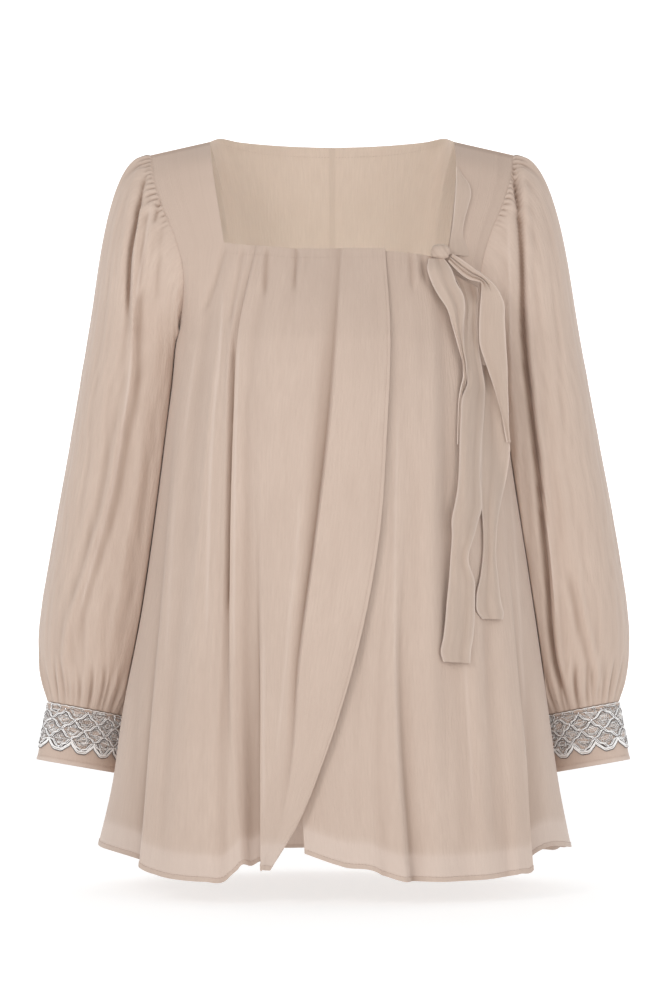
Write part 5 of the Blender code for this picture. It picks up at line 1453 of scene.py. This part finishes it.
@dataclass(frozen=True)
class Lace:
    """Silver embroidery on a cuff: a trellis of cords with loops and beads over fine net."""

    cuff: Cuff
    rows: tuple[float, ...] = (0.075, 0.235, 0.395, 0.555, 0.715)
    top: float = 0.02
    tip: float = 0.745
    stand: float = 0.9
    pale_strands: tuple = ((-0.065, 0.60), (0.085, 0.44))
    # the dark strands and border are painted shadow beside the pale cords
    dark_strands: tuple = ((-0.152, 0.40), (0.012, 0.27), (0.162, 0.39))
    pale_border: tuple = ((0.0, 0.85), (0.030, 0.55))
    dark_border: tuple = ((0.050, 0.40), (-0.022, 0.27))
    seed: int = 7

    def cord_along(self, step: Array, down: Array, radius: float, out: float,
                   sides: int = 6) -> Pair:
        """A cord through places on the cuff."""
        points, normals = self.cuff.place(step, down, np.full(len(step), out))
        return tube(points, normals, radius, sides)

    def trellis(self, strands: tuple, chance: np.random.Generator) -> list:
        """Slightly wavy cords along every side of every diamond.

        Args:
            strands: how far beside the line each cord runs, in half diamonds, and its radius.
            chance: moves each side a little, so no two diamonds are alike.

        Returns:
            The cords.
        """
        cords = []
        share = np.linspace(0, 1, 9)
        reach = self.cuff.steps
        knots = chance.normal(0.0, 0.07, (len(self.rows), reach, 2)) * (1.0, 0.18)
        for level, (upper, lower) in enumerate(zip(self.rows, self.rows[1:])):
            for number in range(reach):
                rising = (number + level) % 2
                rows = (level + 1, level) if rising else (level, level + 1)
                first, last = (lower, upper) if rising else (upper, lower)
                start, end = knots[rows[0], number], knots[rows[1], (number + 1) % reach]
                wave = 0.014 * np.sin(share * math.pi * 3 + number)
                step = number + share + start[0] * (1 - share) + end[0] * share
                down = blend(first + start[1], last + end[1], share) + wave
                for shift, size in strands:
                    cords.append(self.cord_along(step + shift, down + abs(shift) * 0.1,
                                                 size, self.stand, 6 if size > 0.4 else 4))
        return cords

    def border(self, strands: tuple) -> list:
        """A thin cord at the top, and scallops round the lowest points."""
        round_ = np.linspace(0, self.cuff.steps, 241)
        ripple = 0.006 * np.sin(round_ * 9.0)
        shift, size = strands[0]
        cords = [self.cord_along(round_, self.top + shift + ripple, size * 0.45, self.stand)]
        swing = np.abs(np.cos(round_ * math.pi / 2))
        for shift, size in strands:
            depth = self.rows[3] + 0.035 + (self.tip - self.rows[3] - 0.035) * swing ** 0.75
            cords.append(self.cord_along(round_, depth + shift + ripple, size, self.stand,
                                         6 if size > 0.4 else 4))
        return cords

    def fillings(self, chance: np.random.Generator, radius: float, strokes: int) -> list:
        """Looped threads and long stitches in each diamond, no two alike."""
        loops = []
        turn = np.linspace(0, 2 * math.pi, 20)
        share = np.linspace(-1, 1, 5)
        for level in range(len(self.rows) - 1):
            for number in range((level + 1) % 2, self.cuff.steps, 2):
                lean, start = chance.uniform(-0.5, 0.5), chance.uniform(0, 6.3)
                for _ in range(int(chance.integers(strokes, strokes + 4))):
                    across = chance.uniform(-0.8, 0.8)
                    step = number + (0.9 - abs(across)) * share
                    fall = self.rows[level] + 0.15 * across + 0.06 * lean * share
                    fall = np.clip(fall + 0.008 * np.cos(share * 3 + start),
                                   self.top, self.rows[-1] + 0.02)
                    loops.append(self.cord_along(step, fall, radius * 0.7, self.stand - 0.35, 3))
                for ring in range(int(chance.integers(2, 4))):
                    size = (0.62 - 0.19 * ring) * chance.uniform(0.85, 1.1)
                    wave = 1 + 0.16 * np.sin(turn * 5 + start)
                    step = number + size * wave * np.cos(turn) + lean * 0.1
                    fall = self.rows[level] + 0.15 * size * wave * np.sin(turn + lean)
                    fall = np.clip(fall, self.top, self.rows[-1] + 0.02)
                    loops.append(self.cord_along(step, fall, radius, self.stand - 0.25, 3))
        return loops

    def net(self) -> list:
        """The fine ground: two sets of slanting threads a millimetre and a half apart."""
        threads = []
        share = np.linspace(0, 1, 8)
        count = 5 * self.cuff.steps
        low = self.rows[3] + 0.03
        for lean in (-1.0, 1.0):
            for number in range(count):
                step = number * self.cuff.steps / count + lean * 1.6 * share
                fall = self.top + (self.tip - self.top) * share
                swing = np.abs(np.cos(step * math.pi / 2))
                limit = low + (self.tip - low) * swing ** 0.75
                threads.append(self.cord_along(step, np.minimum(fall, limit), 0.14, 0.35, 3))
        return threads

    def beads(self, chance: np.random.Generator) -> list:
        """Small beads at the crossings, and sequins scattered in the diamonds."""
        turn = np.linspace(0, math.pi, 6)
        drops = []
        spots = [(number + level % 2, down, 0.95) for level, down in enumerate(self.rows)
                 for number in range(0, self.cuff.steps, 2)]
        spots += [(chance.uniform(0, self.cuff.steps), chance.uniform(0.06, 0.58), 0.6)
                  for _ in range(110)]
        for step, down, size in spots:
            point, normal = self.cuff.place(np.array([step]), np.array([down]),
                                            np.array([self.stand]))
            side = unit(np.cross(normal[0], np.array([0.0, 0.0, 1.0])))
            path = point[0] + side * (-size * np.cos(turn))[:, None]
            ring = np.maximum(np.sin(turn), 0.05) * size
            about = np.arange(6) * math.pi / 3
            up = np.cross(side, normal[0])
            ball = (path[:, None] + ring[:, None, None]
                    * (np.cos(about)[None, :, None] * normal[0] * 0.8
                       + np.sin(about)[None, :, None] * up))
            drops.append((ball.reshape(-1, 3), grid_quads(6, 6, closed=True)[:, ::-1]))
        return drops

    def build(self, shop: Workshop) -> None:
        """Six joined meshes: pale cords and loops, dark cords and loops of painted shadow, net and
        beads.
        """
        name = self.cuff.side.name.lower()
        seed = self.seed + self.cuff.side.value
        chance = np.random.default_rng(seed)
        nodes = (f"lace_{name}_front", f"lace_{name}_back")
        pale = (self.trellis(self.pale_strands, np.random.default_rng(seed))
                + self.border(self.pale_border))
        dark = (self.trellis(self.dark_strands, np.random.default_rng(seed))
                + self.border(self.dark_border))
        # Painted shadow: the dark strands beside the pale cords, and the thin dark loops among the
        # pale ones.
        for label, parts, finish, stands_for in (
                ("trellis", pale, shop.silver, nodes),
                ("shadow_outline", dark, shop.painted_shadow, ()),
                ("loops", self.fillings(chance, 0.42, 6), shop.silver, ()),
                ("shadow_loops", self.fillings(chance, 0.20, 2), shop.painted_shadow, ()),
                ("net", self.net(), shop.net, ()),
                ("beads", self.beads(chance), shop.beads, ())):
            shop.add(f"lace_{name}_{label}", joined(parts), finish, "silver_lace", *stands_for)


# ---- the bow
@dataclass(frozen=True)
class Ribbon:
    """A strip of the tie between two edges, standing off the left front."""

    name: str
    rows: tuple           # x and drop of one edge, x and drop of the other, stand of each
    flat: tuple[float, float]
    columns: int = 18
    spacing: float = 1.9
    crown: float = 1.2
    turned: float = 0.28
    creases: tuple = ()   # share across, depth, half width
    # painted shadow: how dark its top is painted, where it comes out from under the rest
    covered: float = 0.0  # how dark its top is, where it comes out from under the rest
    creased: float = 1.0  # the share of its length that the creases run down

    def grid(self, panel: FrontPanel) -> Array:
        """Both edges as smooth curves, ruled across, with a crowned middle."""
        table = np.array(self.rows, dtype=float)
        middle = (table[:, 0:2] + table[:, 2:4]) / 2
        run = run_of(middle)
        at = np.linspace(0, run[-1], max(12, round(run[-1] / self.spacing)))
        smooth = np.stack([through(run, values, at) for values in table.T], axis=-1)
        share = np.linspace(0, 1, self.columns)[None, :]
        x, drop, stand = (blend(smooth[:, [one]], smooth[:, [other]], share)
                          for one, other in ((0, 2), (1, 3), (4, 5)))
        width = np.hypot(smooth[:, 2] - smooth[:, 0], smooth[:, 3] - smooth[:, 1])[:, None]
        stand = stand + self.crown * np.sin(share * math.pi) * np.clip(width / 20, 0, 1)
        run_out = 1 - ease((at[:, None] / at[-1] - self.creased) / 0.1)
        for place, depth, half in self.creases:
            stand = stand + depth * np.exp(-((share - place) / half) ** 2) * run_out
        stand = stand + 0.25 * np.sin(at / 9.0 + 2.0)[:, None] * np.sin(share * 7.0)
        return panel.in_front(x, drop, stand)

    def build(self, shop: Workshop, panel: FrontPanel) -> None:
        """The strip as a closed shell, a little thicker along its turned edges."""
        grid = self.grid(panel)
        row = np.arange(len(grid))[:, None] * self.spacing
        share = np.linspace(0, 1, self.columns)[None, :]
        # painted shade in the creases' troughs, and painted shadow at the top, where the strip
        # comes out from under the rest
        creased = sum(0.24 * max(-depth, 0.0) * np.exp(-((share - place) / half) ** 2)
                      for place, depth, half in self.creases)
        run_out = 1 - ease((row / row[-1] - self.creased) / 0.1)
        shaded = self.covered * (1 - ease((row - 6.0) / 24.0)) + creased * run_out
        dress_strip(self.name, grid, shop, self.turned, shaded)


def dress_strip(name: str, grid: Array, shop: Workshop,
                turned: float, shaded: Array | float = 0.0, plain: Array | float = 0.0) -> None:
    """A ribbon from its grid: thin, with a slight roll along both long edges, painted paler there
    as a highlight.

    Args:
        name: of the CAD node that it stands for.
        grid: its outer skin.
        shop: the finishes.
        turned: how far the edges' rolls stand up, millimetres.
        shaded: how much painted shade each point gets, from 0 to 1: the shade of what covers it,
            and of its creases.
        plain: how far the rolls have gone at each point, from 0 to 1.
    """
    points = grid.reshape(-1, 3)
    faces = grid_quads(*grid.shape[:2])
    normals = point_normals(points, faces)
    share = np.linspace(0, 1, grid.shape[1])
    roll = np.exp(-(np.minimum(share, 1 - share) / 0.045) ** 2)
    edge = (np.broadcast_to(roll, grid.shape[:2]) * (1 - plain)).ravel()
    shaded = np.broadcast_to(shaded, grid.shape[:2])
    # painted shade through the hollow mark, and painted highlights along the rolled edges through
    # the hem mark
    piece = shop.cloth(name, points + normals * (edge * turned)[:, None], faces,
                       weave_of(grid), {"hollow": shaded, "hem": edge * 0.5},
                       0.8 + 0.5 * edge, shop.tie, "tie_cloth")


# x and drop of one edge, x and drop of the other, and the stand of each, down each strip
TIE_LOOP_LEFT_ROWS = (
    (96.4, 130.6, 111.6, 130.6, 6.6, 6.8), (94.8, 139.5, 118, 139.5, 9.5, 10),
    (98.5, 153.5, 123.8, 154.5, 8.5, 11.5), (106, 168, 131.3, 168.5, 8.5, 11.5),
    (114, 180, 132.2, 180, 8.5, 11), (119.5, 196, 130.8, 196, 8.5, 10.5),
    (126.5, 220, 131, 220, 8.5, 10), (130.6, 239, 133.2, 239, 7.5, 8),
    (131, 249, 133.4, 249, 6.5, 6.5), (128.6, 259, 132.4, 259, 4.6, 4.2),
    (126.6, 270, 132, 270, 3.4, 3.2), (125.2, 291, 131.4, 291, 3.2, 3),
    (124.6, 316, 131, 316, 3, 2.8),
)
TIE_LOOP_RIGHT_ROWS = (
    (115.8, 132.6, 120.2, 125.8, 7.5, 8.4), (122.5, 140, 126.6, 129.5, 9.5, 11.5),
    (130.5, 147, 134.6, 135, 10, 13), (137.5, 151, 141.5, 140, 10.5, 13.5),
    (144.5, 152.5, 147.6, 144.2, 10.5, 13.5), (149, 154.2, 154.2, 149.8, 10.5, 13),
    (149.3, 159.5, 162, 156.5, 10.5, 12.5), (148.6, 168, 169.6, 169, 10.5, 11.5),
    (147, 194, 172.4, 194, 10, 10.5), (147.6, 216, 173.8, 216, 10, 9.5),
    (153.6, 235, 175, 235, 9.5, 9.5), (161.5, 258, 175.5, 258, 9, 9.5),
    (170.5, 290, 176.2, 290, 8.5, 9), (175.4, 313.5, 178, 313.5, 8, 8),
)
TIE_TAIL_LONG_ROWS = (
    (121, 146, 145.5, 158.5, 4, 5), (127, 158, 146.5, 170, 4.5, 5.5),
    (131.6, 172, 145.8, 176.5, 6, 6.5), (131.2, 196, 145.2, 196, 6, 6.5),
    (131.2, 220, 146.8, 220, 6, 7), (134.2, 244, 150.6, 244, 6, 7), (134.4, 256, 152.4, 256, 6, 7),
    (129.6, 268, 152.2, 268, 6.5, 7), (127.8, 289, 151, 289, 6.5, 6.5),
    (126.4, 312, 148.6, 312, 6.5, 6), (125.2, 351, 147.4, 351, 6.5, 6),
    (122.4, 370, 148.4, 379, 6, 6), (118.2, 391, 144.5, 392, 5.5, 6),
    (118.4, 404, 141, 404, 5, 7.5), (116.6, 430, 134.4, 430, 4, 7.5), (115, 453, 141, 453, 4, 6),
    (113.6, 466, 141, 466, 4, 4.5), (109.6, 506, 139, 506, 4, 4), (107, 521, 136.6, 521, 4, 4),
    (109.6, 529.5, 136, 531.5, 4, 4),
)
TIE_TAIL_SHORT_ROWS = (
    (150.6, 236, 168, 236, 1.9, 1.9), (152, 256, 172, 256, 3.5, 4.5),
    (149.8, 280, 174.6, 280, 3.5, 5), (148.6, 300, 176.4, 300, 3.5, 5.5),
    (147.8, 326, 178, 322, 4, 6), (147.8, 350, 174, 350, 4, 6), (148, 371, 169, 371, 4, 6),
    (149, 384, 166, 384, 3.5, 6.5), (150.2, 404, 163.6, 404, 3.5, 7),
    (150, 423, 162.8, 427, 3.5, 6.5), (147.4, 445, 165, 450, 3.5, 5.5),
    (142.6, 468, 168, 474, 3.5, 5), (143.6, 481, 170.4, 484, 3, 3.6),
    (149, 488.5, 169.4, 489.5, 2.6, 3),
)


@dataclass(frozen=True)
class Bow:
    """The tie: a strip along the neck edge, a knot, two loops and two tails."""

    knot: tuple[float, float, float, float, float] = (108.0, 123.6, 9.8, 7.4, 5.6)
    knot_stand: float = 6.7
    squareness: float = 2.6
    grooves: tuple = ((-0.70, 0.05, 0.16), (0.10, 0.03, 0.14), (0.66, 0.06, 0.14))
    strap_columns: int = 18
    strap_steps: int = 50
    merges_from: float = 0.70     # of the way down the strap
    strips: tuple[Ribbon, ...] = (
        Ribbon("tie_loop_left", TIE_LOOP_LEFT_ROWS, (0.022, 0.195),
               creases=((0.35, 0.9, 0.10), (0.6, -0.9, 0.12))),
        Ribbon("tie_loop_right", TIE_LOOP_RIGHT_ROWS, (0.025, 0.205),
               creases=((0.30, -1.4, 0.07), (0.58, -1.8, 0.05), (0.45, 0.9, 0.1)), creased=0.18),
        Ribbon("tie_tail_long", TIE_TAIL_LONG_ROWS, (0.028, 0.40),
               creases=((0.3, 0.8, 0.09), (0.7, -0.8, 0.1)), covered=0.55),
        Ribbon("tie_tail_short", TIE_TAIL_SHORT_ROWS, (0.028, 0.27),
               creases=((0.4, -0.8, 0.1), (0.75, 0.8, 0.1)), covered=0.6),
    )
    strap_rows: tuple = (
        # along the strap (0 shoulder seam, 1 neck corner), inner and outer edge across it, stand
        (0.24, 0.00, 0.02, 2), (0.30, 0.00, 0.10, 2.2), (0.37, 0.00, 0.24, 2.6),
        (0.45, 0.00, 0.31, 2.6), (0.56, 0.01, 0.30, 2.6), (0.67, 0.02, 0.28, 2.8),
        (0.77, 0.02, 0.29, 3.2), (0.84, 0.00, 0.36, 3.6), (0.89, 0.00, 0.47, 4),
        (0.94, 0.00, 0.56, 4.4), (0.985, 0.00, 0.60, 4.6),
    )

    def strap(self, shop: Workshop, panel: FrontPanel) -> None:
        """The strip along the neck edge, on the strap's own points moved out."""
        grid, faces, _ = panel.grid()
        normals = point_normals(grid.reshape(-1, 3), faces).reshape(grid.shape)
        corner = panel.corner()
        foot = grid[panel.strap_rows, corner:, 0]
        place = (foot - foot[0]) / (foot[-1] - foot[0])

        def merging(down: Array) -> Array:
            """How far the strip has run into the front, from 0 to 1."""
            return ease((down - self.merges_from) / 0.2)

        def read(values: Array, row: int, across: Array) -> Array:
            """A row of the strap's points or directions, at shares across it."""
            return np.stack([np.interp(across, place, values[row, corner:, k])
                             for k in range(3)], axis=-1)

        table = np.array(self.strap_rows)
        run = table[:, 0] - table[0, 0]
        at = np.linspace(0, run[-1], self.strap_steps)
        along, inner, outer, stands = [through(run, values, at) for values in table.T]
        rows = []
        even = np.linspace(0, 1, self.strap_columns)
        crown = 0.6 * np.sin(np.linspace(0, math.pi, self.strap_columns))
        for row, left, right, off in zip(along * panel.strap_rows, inner, outer, stands):
            first = int(row)
            across = np.linspace(left, right, self.strap_columns)
            point = blend(read(grid, first, across), read(grid, first + 1, across), row - first)
            merged = 1 - 0.94 * even * merging(row / panel.strap_rows)
            stand = merged * (off + crown)
            rows.append(point + unit(read(normals, first, across)) * stand[:, None])
        plain = merging(along)[:, None]
        dress_strip("tie_strap", np.stack(rows), shop, 0.28, plain=plain)

    def knot_lump(self, shop: Workshop, panel: FrontPanel) -> None:
        """A soft squarish lump, creased where the ribbon wraps round itself, with painted shade in
        the creases.
        """
        x, drop, half_width, half_height, half_depth = self.knot
        centre = panel.in_front(*(np.array([at]) for at in (x, drop, self.knot_stand)))[0]
        rings, around = 45, 88
        lat, lon = np.meshgrid(np.linspace(math.pi / 2, -math.pi / 2, rings),
                               np.arange(around) * 2 * math.pi / around, indexing="ij")
        power = 2 / self.squareness

        def soft(value: Array) -> Array:
            """A value drawn towards the sides of a square."""
            return np.sign(value) * np.abs(value) ** power

        flat = np.stack([soft(np.cos(lat)) * soft(np.cos(lon)),
                         soft(np.cos(lat)) * soft(np.sin(lon)), soft(np.sin(lat))], axis=-1)
        slant = flat[..., 0] + flat[..., 2] * 0.55
        groove = sum(depth * np.exp(-((slant - place) / half) ** 2)
                     for place, depth, half in self.grooves)
        flat = flat * (1 - groove * np.cos(lat) ** 0.5)[..., None]
        points = flat * np.array([half_width, half_depth, half_height]) + centre
        points[0] = points[0].mean(axis=0)
        points[-1] = points[-1].mean(axis=0)
        # painted shade in the grooves, through the hollow mark
        shop.add("tie_knot_cloth", (points.reshape(-1, 3), grid_quads(rings, around, closed=True)),
                 shop.tie, "tie_cloth", "tie_knot",
                 weave=np.stack([lon.ravel() * 0.004, lat.ravel() * 0.008], axis=-1),
                 marks={"hollow": np.minimum(groove.ravel() * 4.0, 0.6),
                        "hem": np.zeros(lat.size)})

    def build(self, shop: Workshop, panel: FrontPanel) -> None:
        """Every strip and the knot."""
        for strip in self.strips:
            strip.build(shop, panel)
        self.strap(shop, panel)
        self.knot_lump(shop, panel)


# ---- studio
@dataclass(frozen=True)
class Studio:
    """A pale sweep, soft lights, and a camera level with the middle of the blouse."""

    distance: float = 3.7
    aim: Triple = (0.004, 0.0, -0.375)
    lens: float = 129.6
    floor_drop: float = 0.766
    wall_distance: float = 7.6
    bend: float = 0.8
    reach: float = 24.0
    paper_glow: Triple = (0.67, 1.0, 0.5)  # near, far, before the blouse

    def sweep(self) -> None:
        """A floor that bends up into a wall: a profile carried along X."""
        turn = np.linspace(0, math.pi / 2, 24)
        floor = np.concatenate([[-self.reach, -12.0], np.linspace(-8.0, self.wall_distance, 63)])
        y = np.concatenate([floor, self.wall_distance + self.bend * np.sin(turn[1:]),
                            [self.wall_distance + self.bend] * 2])
        z = np.concatenate([np.zeros(65), self.bend * (1 - np.cos(turn[1:])), [5.0, 14.0]])
        x = np.concatenate([[-self.reach, -8.0], np.linspace(-5.0, 5.0, 51), [8.0, self.reach]])
        z = z - self.floor_drop
        grid = np.stack(np.broadcast_arrays(x[None, :], y[:, None], z[:, None]), axis=-1)
        nodes = NodeBuilder("studio_paper")
        nodes.feed(nodes.shader, Base_Color=(0.45, 0.45, 0.45, 1.0), Roughness=0.9,
                   Emission_Color=(1.0, 1.0, 1.0, 1.0), Emission_Strength=nodes.mark("glow"))
        near, far_off, before = self.paper_glow
        aside, behind = ease((np.abs(x) - 2.5) / 2.5), ease((y - 1.4) / 2.6)
        away = np.maximum(aside[None, :], np.maximum(ease((-y - 4.5) / 3.0), behind)[:, None])
        glow = near + (before - near) * ease((-y - 1.0) / 0.8)[:, None]
        glow = glow + (far_off - glow) * away
        paper = make_piece("studio_sweep", grid.reshape(-1, 3) / MM,
                           grid_quads(*grid.shape[:2])[:, ::-1], nodes.material,
                           marks={"glow": glow.ravel()})

    def light(self, name: str, place: tuple, size: float, power: float,
              aim: tuple | None = None) -> bpy.types.Object:
        """A square soft light aimed at a place, or at the blouse; returns its object."""
        lamp = bpy.data.lights.new(name, "AREA")
        lamp.size = size
        lamp.energy = power
        holder = bpy.data.objects.new(name, lamp)
        holder.location = place
        toward = Vector(aim or self.aim) - Vector(place)
        holder.rotation_euler = toward.to_track_quat("-Z", "Y").to_euler()
        bpy.context.scene.collection.objects.link(holder)
        return holder

    def build(self) -> None:
        """Sweep, lights, world and camera."""
        scene = bpy.context.scene
        self.sweep()
        self.light("key", (-1.9, -2.8, 1.3), 1.1, 31.5)
        self.light("fill", (2.2, -2.8, 0.6), 2.0, 20.4)
        self.light("front", (0.0, -3.2, 0.3), 1.6, 11.0)
        inside = self.light("inside", (0.0, -0.02, -0.33), 0.16, 0.45, (0.0, 0.105, -0.05))
        inside.data.color = (0.84, 1.0, 1.0)
        inside.visible_camera = False
        world = bpy.data.worlds.new("studio_air")
        world.use_nodes = True
        air = world.node_tree.nodes["Background"]
        air.inputs["Color"].default_value = (1.0, 1.0, 1.0, 1.0)
        air.inputs["Strength"].default_value = 0.40
        scene.world = world
        scene.view_settings.view_transform = "Standard"
        data = bpy.data.cameras.new("camera")
        data.sensor_fit = "VERTICAL"
        data.sensor_height = 36.0
        data.lens = self.lens
        data.clip_end = 50.0
        camera = bpy.data.objects.new("camera", data)
        camera.location = (self.aim[0], -self.distance, self.aim[2])
        camera.rotation_euler = (math.pi / 2, 0.0, 0.0)
        scene.collection.objects.link(camera)
        scene.camera = camera


# ---- the whole blouse
@dataclass(frozen=True)
class Blouse:
    """Every cut piece, in the order that a maker would sew them."""

    right_front: FrontPanel = FrontPanel("front_right", Side.RIGHT, OVERLAY_FOLDS, OVERLAY_CREASES,
        ((7, 124.5, 12), (22, 122.5, 34), (47, 119, 50), (80, 113.5, 62), (113.5, 108, 72)),
        flat=(0.42, 0.77), area=0.245, shade=0.07)
    left_front: FrontPanel = FrontPanel("front_left", Side.LEFT, UNDER_FOLDS, UNDER_CREASES,
        ((7, 124.5, 12), (22, 125.2, 34), (49, 124.5, 50), (90, 120, 64), (128.5, 114.6, 73)),
        flat=(0.34, 0.77), area=0.215, shade=0.17)
    bow: Bow = Bow()
    spreads: dict = field(default_factory=lambda: {Side.RIGHT: (0.0, 0.0, 0.0),
                                                   Side.LEFT: (3.5, 6.0, 2.5)})

    def build(self, shop: Workshop) -> None:
        """Fronts, backs, sleeves, cuffs, lace and bow."""
        fronts = {Side.RIGHT: self.right_front.build(shop), Side.LEFT: self.left_front.build(shop)}
        backs = {Side.RIGHT: BackPanel(Side.RIGHT, 1.0, 0.0, 719.8),
                 Side.LEFT: BackPanel(Side.LEFT, 0.8, 0.025, 723.5)}
        for side in Side:
            edges = {"front": fronts[side], "back": backs[side].build(shop)}
            Sleeve(side, self.spreads[side]).build(shop, edges)
            cuff = Cuff(side, self.spreads[side][2])
            cuff.build(shop)
            Lace(cuff).build(shop)
        self.bow.build(shop, self.left_front)


def main() -> None:
    """Builds the blouse and the studio."""
    logging.basicConfig(level=logging.INFO, format="%(name)s: %(message)s")
    Blouse().build(Workshop())
    Studio().build()


if __name__ == "__main__":
    main()
